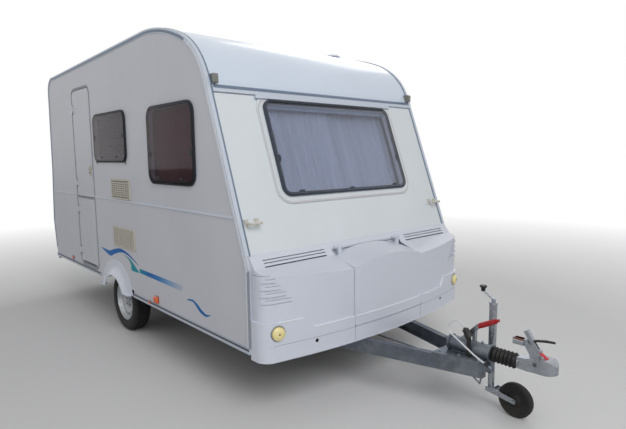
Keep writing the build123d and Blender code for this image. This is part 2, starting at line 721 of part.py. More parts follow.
beam = along_beam(drawbar_back_x, drawbar_front_x, 0, drawbar_sheet, drawbar_bottom, drawbar_top)
beam += along_beam(drawbar_back_x, drawbar_front_x, 0, drawbar_flange, drawbar_bottom, drawbar_bottom + drawbar_sheet)
beam += along_beam(drawbar_back_x, drawbar_front_x, 0, drawbar_flange, drawbar_top - drawbar_sheet, drawbar_top)
beam += along_beam(drawbar_front_x - drawbar_sheet, drawbar_front_x, 0, drawbar_flange, drawbar_bottom, drawbar_top)
beam_left, beam_right = both_sides(beam)

# Route of the electric lead: distance ahead of the nose, y, and height above the draw axis
lead_route = [
    (-360, -85, -50), (-426, -89, -20), (-492, -92, 19), (-560, -85, 54), (-630, -78, 88), (-645, -70, 122),
    (-631, -64, 156), (-599, -59, 173), (-564, -55, 162), (-545, -53, 134),
]
lead_points = [Vector(nose_x + x, y, draw_axis_z + z) for x, y, z in lead_route]
lead_radius = 5.5

# On the right beam: the gland where the lead comes out on its bracket, and a hook for the safety chain
gland_radius, gland_length = 11, 22
gland_foot = lead_points[0] - (lead_points[1] - lead_points[0]).normalized() * gland_length
beam_right += rod(gland_foot, lead_points[0], gland_radius)
beam_right += block(drawbar_front_x - 25, nose_x - 343, gland_foot.Y + 5, gland_foot.Y + 11,
                    draw_axis_z - 82, draw_axis_z - 50)
hook_y, hook_radius = -drawbar_front_half + 10, 5
hook_points = [(drawbar_front_x - 82, drawbar_bottom + 2), (drawbar_front_x - 18, drawbar_bottom - 38),
               (drawbar_front_x - 10, drawbar_bottom + 2)]
for start, end in zip(hook_points, hook_points[1:]):
    beam_right += rod((start[0], hook_y, start[1]), (end[0], hook_y, end[1]), hook_radius)
beam_right += Pos(hook_points[1][0], hook_y, hook_points[1][1]) * Sphere(hook_radius)
save("drawbar_beams", [beam_left, beam_right])

# Axle: six sided tube under the rails, trailing arms, stub axles and brake back plates
tube_x = axle_x + arm_length
tube_z = chassis_bottom - axle_tube_flats / 2
tube_half = housing_inner - 90
arm_thickness = 30
drum_depth = 45                # inboard of the wheel's middle
arm_y0, arm_y1 = tube_half, tube_half + arm_thickness
tube_plane = Plane(origin=(tube_x, -tube_half, tube_z), x_dir=(1, 0, 0), z_dir=(0, 1, 0))
axle = extrude(tube_plane * RegularPolygon(axle_tube_flats / 2, 6, major_radius=False), amount=2 * tube_half)
arm = disc_y(axle_x, wheel_radius, 34, arm_y0, arm_y1) + disc_y(tube_x, tube_z, 45, arm_y0, arm_y1)
arm += slab(side_face([(axle_x, wheel_radius - 32), (tube_x, tube_z - 44), (tube_x, tube_z + 44),
                       (axle_x, wheel_radius + 32)]), arm_y0, arm_y1)
arm += disc_y(axle_x, wheel_radius, stub_radius, arm_y1, hub_half + 20)
arm += disc_y(axle_x, wheel_radius, 26, arm_y1, hub_half - drum_depth - 6)
arm += disc_y(axle_x, wheel_radius, 108, hub_half - drum_depth - 10, hub_half - drum_depth - 6)
for item in both_sides(arm):
    axle += item
rod_bracket_x = tube_x + 70
axle += block(tube_x, rod_bracket_x, -18, 18, tube_z - 14, tube_z + 14)
for side in (-1, 1):
    pad_y = sorted((side * (chassis_half - rail_flange), side * chassis_half))
    axle += block(tube_x - 60, tube_x + 60, pad_y[0], pad_y[1], chassis_bottom - 10, chassis_bottom)
save("axle", axle)

# Road wheels: (radius, distance out of the wheel's middle) sections
bead_radius = rim_radius - 8
tyre_half = tyre_width / 2
tread_wall = 16
bead_out, bead_in = tyre_half - 22, tyre_half - 40
tyre_section = [
    (bead_radius, -bead_out), (wheel_radius - 52, -tyre_half), (wheel_radius - 12, -tyre_half + 9),
    (wheel_radius, -tyre_half + 27), (wheel_radius, tyre_half - 27), (wheel_radius - 12, tyre_half - 9),
    (wheel_radius - 52, tyre_half), (bead_radius, bead_out), (bead_radius, bead_in),
    (wheel_radius - tread_wall, tyre_half - 24), (wheel_radius - tread_wall, -tyre_half + 24),
    (bead_radius, -bead_in),
]
drum_radius = rim_radius - 68
flange_radius, flange_out = rim_radius + 1, tyre_half - 12
barrel_section = [
    (bead_radius + 3, flange_out), (flange_radius, flange_out), (bead_radius, bead_out + 0.5),
    (bead_radius, 34), (bead_radius - 12, 24), (bead_radius - 12, -14), (bead_radius, -34),
    (bead_radius, -bead_out - 0.5), (flange_radius, -flange_out), (bead_radius - 5, -bead_out - 2),
    (bead_radius - 17, -16), (bead_radius - 17, 30), (bead_radius - 5, 50),
]
disc_section = [
    (0, 21), (stub_radius + hub_play, 21), (stub_radius + hub_play, -drum_depth), (drum_radius, -drum_depth),
    (drum_radius, 15), (bead_radius - 15, 15), (bead_radius - 15, 24), (drum_radius, 38),
    (drum_radius - 28, 30), (40, 30), (32, 62), (0, 62),
]
slot_count, slot_length, slot_width = 12, 36, 15
slot_circle = (drum_radius + bead_radius - 17) / 2
rim = turned_y(barrel_section, 0, 0, 0) + turned_y(disc_section, 0, 0, 0)
for index in range(slot_count):
    angle = math.radians(index * 360 / slot_count)
    slot_plane = Plane(origin=(slot_circle * math.cos(angle), 0, slot_circle * math.sin(angle)),
                       x_dir=(-math.sin(angle), 0, math.cos(angle)), z_dir=(0, 1, 0))
    rim -= extrude(slot_plane * SlotOverall(slot_length, slot_width), amount=60)
tyre_left = turned_y(tyre_section, axle_x, hub_half, wheel_radius)
rim_left = Pos(axle_x, hub_half, wheel_radius) * rim
save("tyre_left", tyre_left)
save("rim_left", rim_left)
save("tyre_right", mirror(tyre_left, about=Plane.XZ))
save("rim_right", mirror(rim_left, about=Plane.XZ))

# Corner steadies: name, hinge x, way the foot points when folded, side
steady_y = half_width - 250
steady_length, steady_depth, steady_half = 430, 34, 22
steady_hinge_z = wall_bottom - 42
steady_pin_radius = 6
front_steady_x, rear_steady_x = knee_x - 615, rear_x + 580
steadies = [
    ("front_right", front_steady_x, +1, -1), ("front_left", front_steady_x, +1, +1),
    ("rear_right", rear_steady_x, -1, -1), ("rear_left", rear_steady_x, -1, +1),
]
brackets = []
for name, x, way, side in steadies:
    y = side * steady_y
    z0, z1 = steady_hinge_z - steady_depth / 2, steady_hinge_z + steady_depth / 2
    leg = block(x, x + way * steady_length, y - steady_half, y + steady_half, z0, z1)
    leg -= block(x - way * 30, x + way * (steady_length - 40), y - steady_half + sheet, y + steady_half - sheet,
                 z0 - past, z1 - sheet)
    for edge in (-steady_half, steady_half - sheet):
        leg += disc_y(x, steady_hinge_z, steady_depth / 2, y + edge, y + edge + sheet)
    leg -= disc_y(x, steady_hinge_z, steady_pin_radius + hub_play, y - steady_half - past, y + steady_half + past)
    leg += block(x + way * (steady_length - 4), x + way * (steady_length + 2), y - 45, y + 45,
                 steady_hinge_z - 45, steady_hinge_z + 20)
    save("steady_leg_" + name, leg)
    bracket = disc_y(x, steady_hinge_z, steady_pin_radius, y - steady_half - 14, y + steady_half + 14)
    for edge in (-steady_half - 12, steady_half + 6):
        bracket += block(x - 26, x + 26, y + edge, y + edge + 6, steady_hinge_z - 16, wall_bottom)
    brackets.append(bracket + block(x - 60, x + 60, y - 50, y + 50, wall_bottom - 5, wall_bottom))
save("steady_brackets", brackets)

# Overrun housing over the beams: flange plate, saddle, bored tube with rings
housing_tube_radius, draw_bore_radius = 46, draw_tube_radius + touch_gap
plate_x0, plate_x1 = nose_x - 710, drawbar_front_x
housing_x0, housing_x1 = nose_x - 670, nose_x - 382
plate_thickness = 8
plate_z = drawbar_top + plate_thickness
overrun = plan_slab([(plate_x0, -drawbar_half(plate_x0)), (plate_x1, -drawbar_front_half),
                     (plate_x1, drawbar_front_half), (plate_x0, drawbar_half(plate_x0))], drawbar_top, plate_z)
overrun += rod((housing_x0, 0, draw_axis_z), (housing_x1, 0, draw_axis_z), housing_tube_radius)
overrun += block(housing_x0 + 20, plate_x1 - 10, -30, 30, plate_z - 1, draw_axis_z)
for ring_x in (housing_x0, housing_x1 - 16):
    overrun += rod((ring_x, 0, draw_axis_z), (ring_x + 16, 0, draw_axis_z), housing_tube_radius + 6)
overrun += block(plate_x1 - 20, housing_x1 - 16, -20, 20, drawbar_top, draw_axis_z)
for boss_x in (housing_x0 + 90, housing_x0 + 220):
    overrun += rod((boss_x, 0, draw_axis_z), (boss_x, 0, draw_axis_z + housing_tube_radius + 7), 7)
overrun -= rod((housing_x0 - past, 0, draw_axis_z), (housing_x1 + past, 0, draw_axis_z), draw_bore_radius)
rod_front_x = nose_x - 650
overrun += block(rod_front_x, rod_front_x + 12, -16, 16, tube_z - 16, drawbar_top + 1)
save("overrun_housing", overrun)
save("brake_rod", rod((rod_bracket_x, 0, tube_z), (rod_front_x, 0, tube_z), 5))

# Bellows between the housing and the coupling head: (distance, radius) section
head_x0 = nose_x - 220
bellows_length = head_x0 - housing_x1
pleats, pleat_high, pleat_low, bellows_wall = 6, 47, 38, 4
end_band = 10
pitch = (bellows_length - 2 * end_band) / pleats
section = [(0, draw_bore_radius), (0, 44), (end_band - 3, 44), (end_band, pleat_low)]
for index in range(pleats):
    section.append((end_band + (index + 0.5) * pitch, pleat_high))
    section.append((end_band + (index + 1) * pitch, pleat_low))
section += [(bellows_length, 34), (bellows_length, draw_bore_radius), (bellows_length - end_band, draw_bore_radius),
            (bellows_length - end_band, pleat_low - bellows_wall), (end_band, pleat_low - bellows_wall),
            (end_band, draw_bore_radius)]
save("bellows", turned_x(section, housing_x1, 0, draw_axis_z))

# Coupling head: the side profile and the plan profile cut each other, with the ball socket below
socket_x, socket_top = nose_x - 45, draw_axis_z + 10
head_side = side_face([(nose_x + x, draw_axis_z + z) if tag is None else ("arc", nose_x + x, draw_axis_z + z)
                       for tag, x, z in [
    (None, -220, -28), (None, -160, -30), (None, -45, -18), (None, 0, -11), (None, 0, 27),
    ("arc", -14, 51), (None, -45, 62), (None, -100, 64), (None, -160, 44), (None, -220, 36)]])
head = slab(head_side, -60, 60)
head &= plan_slab([(head_x0, -30), (nose_x - 120, -32), (nose_x - 75, -44), (socket_x, -45), ("arc", nose_x, 0),
                   (socket_x, 45), (nose_x - 75, 44), (nose_x - 120, 32), (head_x0, 30)], 0, draw_axis_z + 100)
tube_back_x = nose_x - 430
handle_plates = slab(side_face([(nose_x + x, draw_axis_z + z) for x, z in [
    (-150, 36), (-100, 56), (-92, 100), (-112, 112), (-172, 204), (-194, 190), (-142, 116), (-180, 145),
    (-256, 145), (-256, 110), (-186, 110), (-158, 70)]]), -13, 13)
handle_plates -= block(nose_x - 175, nose_x - 105, -7, 7, draw_axis_z + 62, draw_axis_z + 150)
handle_plates -= head
save("coupling_handle", handle_plates)
head += rod((tube_back_x, 0, draw_axis_z), (head_x0 + 20, 0, draw_axis_z), draw_tube_radius)
head -= rod((socket_x, 0, 0), (socket_x, 0, socket_top), ball_radius + touch_gap)
save("coupling_head", head)

# Handbrake: two flat bars and a strut on the housing, with a round grip
brake_points = [(-605, 36), (-562, 22), (-466, 150), (-478, 166), (-515, 128)]
brake_face = side_face([(nose_x + x, draw_axis_z + z) for x, z in brake_points])
brake = slab(brake_face, -15, -9) + slab(brake_face, 9, 15)
brake += block(nose_x - 511, nose_x - 495, -15, 15, draw_axis_z + 40, draw_axis_z + 118)
brake += disc_y(nose_x - 482, draw_axis_z + 150, 9, -15, 15)
grip_start = (nose_x - 476, 0, draw_axis_z + 148)
grip_end = (nose_x - 367, 0, draw_axis_z + 204)
grip_way = (Vector(*grip_end) - Vector(*grip_start)).normalized()
brake += rod(tuple(Vector(*grip_start) - grip_way * 20), grip_start, 9)
grip = rod(grip_start, grip_end, 16) + rod(grip_end, tuple(Vector(*grip_end) + grip_way * 22), 9)
brake = brake - overrun - grip
save("handbrake_lever", brake)
save("handbrake_grip", grip)

# Electric lead from the gland up over the housing to its plug, which rests in a holder
radii = []
for before, corner, after in zip(lead_points, lead_points[1:], lead_points[2:]):
    run_in, run_out = corner - before, after - corner
    turn = math.radians(run_in.get_angle(run_out))
    radii.append(0.45 * min(run_in.length, run_out.length) / math.tan(turn / 2))
print("lead radii", [round(radius) for radius in radii])


def lead_path():
    """Straight runs joined by an arc at each point."""
    edges = []
    here = lead_points[0]
    for index, radius in enumerate(radii):
        corner, after = lead_points[index + 1], lead_points[index + 2]
        run_in, run_out = (corner - here).normalized(), (after - corner).normalized()
        half_turn = math.radians(run_in.get_angle(run_out)) / 2
        back = radius * math.tan(half_turn)
        arc_start, arc_end = corner - run_in * back, corner + run_out * back
        inward = (run_out - run_in).normalized()
        arc_middle = corner + inward * (radius / math.cos(half_turn) - radius)
        edges += [Line(here, arc_start), ThreePointArc(arc_start, arc_middle, arc_end)]
        here = arc_end
    return Wire(edges + [Line(here, lead_points[-1])])


path = lead_path()
cable = sweep(Plane(origin=path @ 0, z_dir=path % 0) * Circle(lead_radius), path=path)
print("lead length", round(path.length), "volume share", round(cable.volume / (path.length * math.pi * lead_radius ** 2), 4))
save("lead_cable", cable)
plug_length = 60
plug_way = (lead_points[-1] - lead_points[-2]).normalized()
plug_plane = Plane(origin=lead_points[-1], z_dir=plug_way)
plug_end = lead_points[-1] + plug_way * plug_length
plug = extrude(plug_plane * Circle(9), amount=14) + extrude(plug_plane.offset(12) * Circle(20), amount=plug_length - 12)
save("lead_plug", plug)
holder = extrude(plug_plane.offset(plug_length - 22) * Circle(25), amount=27)
holder += block(plug_end.X - 14, plug_end.X + 14, plug_end.Y - 8, plug_end.Y - 2, plate_z, plug_end.Z + 4)
holder -= extrude(plug_plane * Circle(20 + touch_gap), amount=plug_length)
save("plug_holder", holder)

# Jockey wheel: clamp, outer tube with crank, winding leg with its fork, wheel
jockey_x = nose_x - jockey_setback
jockey_y = drawbar_half(jockey_x) + 69
clamp_half, clamp_out = 30, 38
clamp_z0, clamp_z1 = drawbar_top - 66, drawbar_top - 10
clamp = plan_slab([
    (jockey_x - clamp_half, drawbar_half(jockey_x - clamp_half)),
    (jockey_x + clamp_half, drawbar_half(jockey_x + clamp_half)),
    (jockey_x + clamp_half, jockey_y + clamp_out), (jockey_x - clamp_half, jockey_y + clamp_out),
], clamp_z0, clamp_z1)
clamp -= rod((jockey_x, jockey_y, clamp_z0 - past), (jockey_x, jockey_y, clamp_z1 + past), jockey_outer_radius)
clamp_z, clamp_face = (clamp_z0 + clamp_z1) / 2, jockey_y + clamp_out
clamp += disc_y(jockey_x, clamp_z, 8, clamp_face - 1, clamp_face + 34)
clamp += rod((jockey_x - 34, clamp_face + 30, clamp_z + 10), (jockey_x + 34, clamp_face + 30, clamp_z - 10), 6)
save("jockey_clamp", clamp)
tube_z0, tube_z1 = clamp_z0 - 7, drawbar_top + 317
outer = rod((jockey_x, jockey_y, tube_z0), (jockey_x, jockey_y, tube_z1), jockey_outer_radius)
outer -= rod((jockey_x, jockey_y, tube_z0 - past), (jockey_x, jockey_y, tube_z1 - 15), jockey_inner_radius + hub_play)
crank_x, crank_z = jockey_x - 72, tube_z1 + 65
outer += rod((jockey_x, jockey_y, tube_z1 - 1), (jockey_x, jockey_y, tube_z1 + 22), 13)
outer += rod((jockey_x, jockey_y, tube_z1 + 16), (crank_x, jockey_y, crank_z), 7)
outer += rod((crank_x, jockey_y, crank_z - 6), (crank_x, jockey_y, crank_z + 30), 13)
save("jockey_tube", outer)
fork_half = jockey_wheel_width / 2 + 6
fork_sheet = 5
wheel_x = jockey_x + jockey_trail
leg_z0, leg_z1 = jockey_radius + 26, jockey_radius + 392
fork = rod((jockey_x, jockey_y, leg_z0), (jockey_x, jockey_y, leg_z1), jockey_inner_radius)
fork -= rod((jockey_x, jockey_y, leg_z0 + 26), (jockey_x, jockey_y, leg_z1 + past), jockey_inner_radius - 3)
fork += block(jockey_x - 20, jockey_x + 30, jockey_y - fork_half - fork_sheet, jockey_y + fork_half + fork_sheet,
              leg_z0 - 6, leg_z0 + 14)
arm_face = side_face([(jockey_x - 20, jockey_radius + 10), (wheel_x, jockey_radius - 16), (wheel_x, jockey_radius + 16),
                      (jockey_x + 30, leg_z0 + 14), (jockey_x - 20, leg_z0 + 14)])
for edge in (jockey_y - fork_half - fork_sheet, jockey_y + fork_half):
    fork += slab(arm_face, edge, edge + fork_sheet) + disc_y(wheel_x, jockey_radius, 16, edge, edge + fork_sheet)
jockey_pin_radius = 7
fork += disc_y(wheel_x, jockey_radius, jockey_pin_radius, jockey_y - fork_half - fork_sheet - 4,
               jockey_y + fork_half + fork_sheet + 4)
save("jockey_fork", fork)
jockey_half = jockey_wheel_width / 2
jockey_shoulder = jockey_radius - 12
save("jockey_wheel", turned_y([
    (jockey_pin_radius + hub_play, -jockey_half), (24, -jockey_half), (46, -9), (jockey_shoulder, -jockey_half),
    (jockey_radius, -12), (jockey_radius, 12), (jockey_shoulder, jockey_half), (46, 9), (24, jockey_half),
    (jockey_pin_radius + hub_play, jockey_half),
], wheel_x, jockey_y, jockey_radius))

# Marker lamps at the head of the slanted front
marker = block(slope_top_x - 30, slope_top_x + 30, half_width - 66, half_width - 37, slope_top_z + 34, slope_top_z + 95)
marker = fillet(marker.edges().filter_by(Axis.Y).sort_by(Axis.X)[-2:], 10)
save("marker_lamps", both_sides(marker - body_solid))

# Grab handles: two on the slanted front, two on the rear
handle_z = knee_z + 269
handle_y0, handle_y1 = half_width - 145, half_width - 45
grab_handles = []
for wall_x, way, reach in ((on_slope(handle_z).X, 1, 50),
                           (rear_x + 83 * (handle_z - rear_knee_z) / 600, -1, 33)):
    bar_x = wall_x + way * reach
    bar = rod((bar_x, handle_y0, handle_z), (bar_x, handle_y1, handle_z), 10)
    for y in (handle_y0 + 11, handle_y1 - 11):
        bar += rod((bar_x, y, handle_z), (bar_x - way * 90, y, handle_z), 8)
        foot_x = wall_x + way * 9
        bar += block(foot_x, foot_x - way * 40, y - 14, y + 14, handle_z - 22, handle_z + 22)
    grab_handles += both_sides(bar - body_solid)
save("grab_handles", grab_handles)

# Rooflight: a hollow dome over its opening, and the round vent
dome_half, dome_rise, dome_skin = rooflight_half + 15, 48, 5


def dome_block(inset):
    """The rooflight's rounded box, moved inward."""
    size = 2 * (dome_half - inset)
    box = Pos(rooflight_x, 0, roof_top - 60) * extrude(RectangleRounded(size, size, 50 - inset), amount=60 + dome_rise - inset)
    return chamfer(box.faces().sort_by(Axis.Z)[-1].edges(), 20 - inset)


save("rooflight", dome_block(0) - dome_block(dome_skin) - body_solid)
save("roof_vent", turned_z([
    (0, -6), (62, -6), (62, 7), (40, 9), (38, 24), (70, 24), (70, 32), (58, 42), (34, 48), (0, 48),
], roof_vent_x, roof_vent_y, roof_top) - body_solid)

# Rear bumper, bowed in plan, and the lamp clusters above it
bumper_z0, bumper_z1 = wall_bottom - 50, wall_bottom + 90
bumper_half = half_width - 10
bumper_x = rear_x + rear_tuck + 2
bumper = plan_slab([(bumper_x, -bumper_half), (bumper_x, bumper_half), (bumper_x - 32, bumper_half),
                    ("arc", rear_x + 6, 0), (bumper_x - 32, -bumper_half)], bumper_z0, bumper_z1)
bumper -= plan_slab([(bumper_x + past, -bumper_half + 6), (bumper_x + past, bumper_half - 6),
                     (bumper_x - 26, bumper_half - 6), ("arc", rear_x + 12, 0),
                     (bumper_x - 26, -bumper_half + 6)], bumper_z0 - past, bumper_z0 + 42)
save("rear_bumper", bumper - body_solid)
rear_lamp_plane = Plane(origin=(rear_x + 2, half_width - 190, wall_bottom + 151), x_dir=(0, 1, 0), z_dir=(1, 0, 0))
rear_lamp = extrude(rear_lamp_plane * RectangleRounded(200, 118, 24), amount=rear_tuck)
rear_lamp = chamfer(rear_lamp.faces().sort_by(Axis.X)[0].edges(), 6)
save("rear_lamps", both_sides(rear_lamp - body_solid))
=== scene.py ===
"""Looks of the travel caravan, laid out as a Blender add-on.

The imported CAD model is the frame: +X forward, +Y left, +Z up, metres. Each piece or group of like
pieces has an operator, and main() calls them in order. Small pieces are seated on the CAD surfaces.
"""

import json
import random
from functools import cache
from math import atan2, copysign, cos, hypot, pi, radians, sin, sqrt

import bmesh
import bpy
from bpy.props import FloatProperty, FloatVectorProperty, IntProperty, PointerProperty
from mathutils import Matrix, Vector
from mathutils.bvhtree import BVHTree


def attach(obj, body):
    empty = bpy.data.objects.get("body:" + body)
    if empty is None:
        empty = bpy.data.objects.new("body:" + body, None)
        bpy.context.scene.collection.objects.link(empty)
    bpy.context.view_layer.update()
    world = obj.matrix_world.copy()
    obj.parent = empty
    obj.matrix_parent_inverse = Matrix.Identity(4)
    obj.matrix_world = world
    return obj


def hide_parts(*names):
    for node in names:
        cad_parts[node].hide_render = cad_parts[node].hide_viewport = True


bl_info = {
    "name": "Travel Caravan",
    "version": (1, 0, 0),
    "blender": (4, 5, 0),
    "location": "3D Viewport > Sidebar > Caravan",
    "description": "Finishes and small parts of a travel caravan",
    "category": "Add Mesh",
}

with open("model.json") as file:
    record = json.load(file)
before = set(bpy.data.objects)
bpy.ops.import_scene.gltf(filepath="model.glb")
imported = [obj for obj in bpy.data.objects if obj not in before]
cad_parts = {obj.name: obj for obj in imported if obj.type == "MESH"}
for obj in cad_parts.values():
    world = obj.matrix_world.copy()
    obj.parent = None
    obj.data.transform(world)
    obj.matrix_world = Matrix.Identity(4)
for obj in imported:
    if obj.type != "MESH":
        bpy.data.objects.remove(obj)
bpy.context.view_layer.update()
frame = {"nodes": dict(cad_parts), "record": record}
NODES = frame["nodes"]
# The materials that come with the CAD nodes make room for this file's own
for plain in list(bpy.data.materials):
    plain.name = "plain_" + plain.name

# Directions and sides
RIGHT, LEFT = -1, 1
BOTH, SIDES = (RIGHT, LEFT), ((RIGHT, "right"), (LEFT, "left"))
FORWARD, BACK, LEFTWARD, RIGHTWARD, UP, DOWN = (1, 0, 0), (-1, 0, 0), (0, 1, 0), (0, -1, 0), (0, 0, 1), (0, 0, -1)

# Places shared with the CAD source, in metres
HALF_WIDTH = 1.05
WALL = 0.03
AXLE_X, HUB_Y = -0.81, 0.921
WHEEL_RADIUS = 0.285
KNEE_X, KNEE_Z = 1.355, 0.945
SLOPE_TOP_X, SLOPE_TOP_Z = 0.95, 2.06
SLOPE_FALL = (KNEE_X - SLOPE_TOP_X) / (SLOPE_TOP_Z - KNEE_Z)
SLOPE_COS = 0.9399
FRONT_NORMAL = Vector((SLOPE_COS, 0, 0.3414))
REAR_WALL_X, REAR_WALL_Z, REAR_LEAN = -2.677, 1.5, 0.0553
REAR_NORMAL = Vector((-0.9985, 0, 0.0552))
DRAW_Z = 0.428
DOOR_X0, DOOR_X1, DOOR_Z0, DOOR_Z1, DOOR_SPLIT = -1.779, -1.283, 0.528, 2.303, 1.233
JOCKEY_HUB = Vector((2.455, 0.158, 0.108))
BRAKE_PIVOT, BRAKE_TIP = Vector((2.284, 0, 0.576)), Vector((2.393, 0, 0.632))
ROOFLIGHT_X, ROOF_VENT = -0.65, (0.1, 0.9)
STEADY_Y = 0.8

# Side windows as name, side, x0, x1, z0, z1, corner radius, curtain folds (0 for none)
SIDE_WINDOWS = (
    ("front_right", RIGHT, 0.06, 0.745, 1.445, 1.987, 0.066, 13),
    ("kitchen_right", RIGHT, -1.148, -0.426, 1.607, 2.006, 0.056, 0),
    ("front_left", LEFT, 0.06, 0.745, 1.445, 1.987, 0.066, 13),
    ("rear_left", LEFT, -2.332, -1.468, 1.445, 1.987, 0.066, 17),
)

# Route of the towing lead, the CAD source's points in metres
LEAD_ROUTE = (
    (2.4, -0.085, 0.378), (2.334, -0.089, 0.408), (2.268, -0.092, 0.447), (2.2, -0.085, 0.482),
    (2.13, -0.078, 0.516), (2.115, -0.07, 0.55), (2.129, -0.064, 0.584), (2.161, -0.059, 0.601),
    (2.196, -0.055, 0.59), (2.215, -0.053, 0.562),
)
LEAD_LENGTH, LEAD_DIAMETER = 0.479, 0.011

# Photo camera, solved from the photo
CAMERA_PLACE = Vector((3.8125, -2.7231, 1.6257))
CAMERA_YAW, CAMERA_PITCH, CAMERA_ROLL = 138.151, -6.75, -0.675


# Mesh helpers
def link(obj):
    """Put a new object in the scene."""
    bpy.context.scene.collection.objects.link(obj)
    return obj


def evenly(start, end, parts):
    """Numbers from start to end in equal steps."""
    return [start + (end - start) * i / parts for i in range(parts + 1)]


def turns(sides):
    """Angles once round in equal steps."""
    return [2 * pi * i / sides for i in range(sides)]


def frame_of(direction):
    """Two directions square to the given one."""
    axis = Vector(direction).normalized()
    first = axis.orthogonal().normalized()
    return first, axis.cross(first).normalized()


def add_rings(bm, rings, closed=False):
    """Skin rings of equal length into a closed shell, with flat ends or joined ends."""
    loops = [[bm.verts.new(p) for p in ring] for ring in rings]
    following = loops[1:] + loops[:1] if closed else loops[1:]
    for a, b in zip(loops, following):
        for i in range(len(a)):
            j = (i + 1) % len(a)
            bm.faces.new((a[i], a[j], b[j], b[i]))
    if not closed:
        bm.faces.new(list(reversed(loops[0])))
        bm.faces.new(loops[-1])


def circle(centre, direction, radius, sides):
    """Points round a centre, square to a direction."""
    u, v = frame_of(direction)
    return [Vector(centre) + radius * (cos(t) * u + sin(t) * v) for t in turns(sides)]


def add_turned(bm, section, origin, direction, sides, closed=False):
    """Turn a (radius, distance) section round an axis: one that starts and ends there, or a hoop's closed one."""
    axis = Vector(direction).normalized()
    add_rings(bm, [circle(Vector(origin) + axis * d, axis, max(r, 1e-4), sides) for r, d in section], closed)


def add_tube(bm, points, radii, sides):
    """A round bar through points, with a radius for each."""
    points = [Vector(p) for p in points]
    side = frame_of(points[1] - points[0])[0]
    rings = []
    for i, (point, radius) in enumerate(zip(points, radii)):
        ahead = points[min(i + 1, len(points) - 1)] - points[max(i - 1, 0)]
        ahead.normalize()
        side = (side - ahead * side.dot(ahead)).normalized()
        up = ahead.cross(side)
        rings.append([point + radius * (cos(t) * side + sin(t) * up) for t in turns(sides)])
    add_rings(bm, rings)


def rounded(u0, u1, v0, v1, corner, steps=6):
    """Outline of a rectangle with round corners."""
    corner = min(corner, (u1 - u0) / 2 - 1e-5, (v1 - v0) / 2 - 1e-5)
    points = []
    for cu, cv, start in ((u1 - corner, v1 - corner, 0), (u0 + corner, v1 - corner, 90),
                          (u0 + corner, v0 + corner, 180), (u1 - corner, v0 + corner, 270)):
        for k in range(steps + 1):
            t = radians(start + 90 * k / steps)
            points.append((cu + corner * cos(t), cv + corner * sin(t)))
    return points


def around(u, v, long, tall, corner, steps=6):
    """Outline of a round-cornered rectangle from its middle and size."""
    return rounded(u - long / 2, u + long / 2, v - tall / 2, v + tall / 2, corner, steps)


def offset(line, inset, closed):
    """A line in a plane moved to its left by a small inset."""
    last, result = len(line) - 1, []
    for i, (u, v) in enumerate(line):
        u0, v0 = line[i - 1] if closed else line[max(i - 1, 0)]
        u1, v1 = line[(i + 1) % len(line)] if closed else line[min(i + 1, last)]
        run = hypot(u1 - u0, v1 - v0) or 1
        result.append((u - (v1 - v0) / run * inset, v + (u1 - u0) / run * inset))
    return result


def shift(a, b, share):
    """A place on the line between two points in a plane."""
    return a[0] + (b[0] - a[0]) * share, a[1] + (b[1] - a[1]) * share


def add_plate(bm, place, outline, depth0, depth1, edge):
    """A plate on a surface with its outer edge eased."""
    rim = depth1 - copysign(edge, depth1 - depth0)
    add_rings(bm, [[place(u, v, d) for u, v in points] for points, d in (
        (outline, depth0), (outline, rim), (offset(outline, edge * 0.35, True), rim + (depth1 - rim) * 0.7),
        (offset(outline, edge, True), depth1))])


def add_frame(bm, place, outline, width, depth0, depth1, edge=0.0006):
    """A flat frame with eased edges that lies outside an outline."""
    add_rings(bm, [[place(*a, depth0), place(*a, depth1 - edge), place(*shift(a, b, 0.05), depth1),
                    place(*shift(a, b, 0.95), depth1), place(*b, depth1 - edge), place(*b, depth0)]
                   for a, b in zip(outline, offset(outline, -width, True))], closed=True)


def add_ribbon(bm, place, line, middle, width, depth0, depth1):
    """A strip with eased edges along an open line, set in from it."""
    half = width / 2
    section = ((half, depth0), (half, depth1 - 0.0004), (half - 0.0008, depth1), (0, depth1 + 0.0003),
               (-half + 0.0008, depth1), (-half, depth1 - 0.0004), (-half, depth0))
    rows = [(offset(line, middle + a, False), d) for a, d in section]
    add_rings(bm, [[place(*row[i], d) for row, d in rows] for i in range(len(line))])


def add_lens(bm, place, u0, u1, v0, v1, depth, rise, ribs=0, corner=0.004):
    """A domed lens with optional ribs across it."""
    outline = rounded(u0, u1, v0, v1, corner)
    add_rings(bm, [[place(u, v, depth + lift) for u, v in offset(outline, inset, True)] for inset, lift in (
        (0, -0.0005), (0, rise * 0.55), (0.0012, rise * 0.85), (0.0035, rise))])
    for i in range(ribs):
        u = u0 + (u1 - u0) * (i + 1) / (ribs + 1)
        add_plate(bm, place, rounded(u - 0.0011, u + 0.0011, v0 + 0.006, v1 - 0.006, 0.0008, 2),
                  depth + rise - 0.0004, depth + rise + 0.0009, 0.0004)


def on_side(side):
    """Maps x, z and a depth out of a side wall to a point."""
    return lambda u, v, d: Vector((u, side * (HALF_WIDTH + d), v))


def on_front(u, v, d):
    """Maps y, z and a depth out of the slanted front to a point."""
    return Vector((KNEE_X - (v - KNEE_Z) * SLOPE_FALL, u, v)) + FRONT_NORMAL * d


def along_front(u, v, d):
    """Maps y, a distance up the slope and a depth out of the slanted front to a point."""
    return on_front(u, v * SLOPE_COS, d)


def on_rear(u, v, d):
    """Maps y, z and a depth out of the rear wall to a point."""
    return Vector((REAR_WALL_X + (v - REAR_WALL_Z) * REAR_LEAN, u, v)) + REAR_NORMAL * d


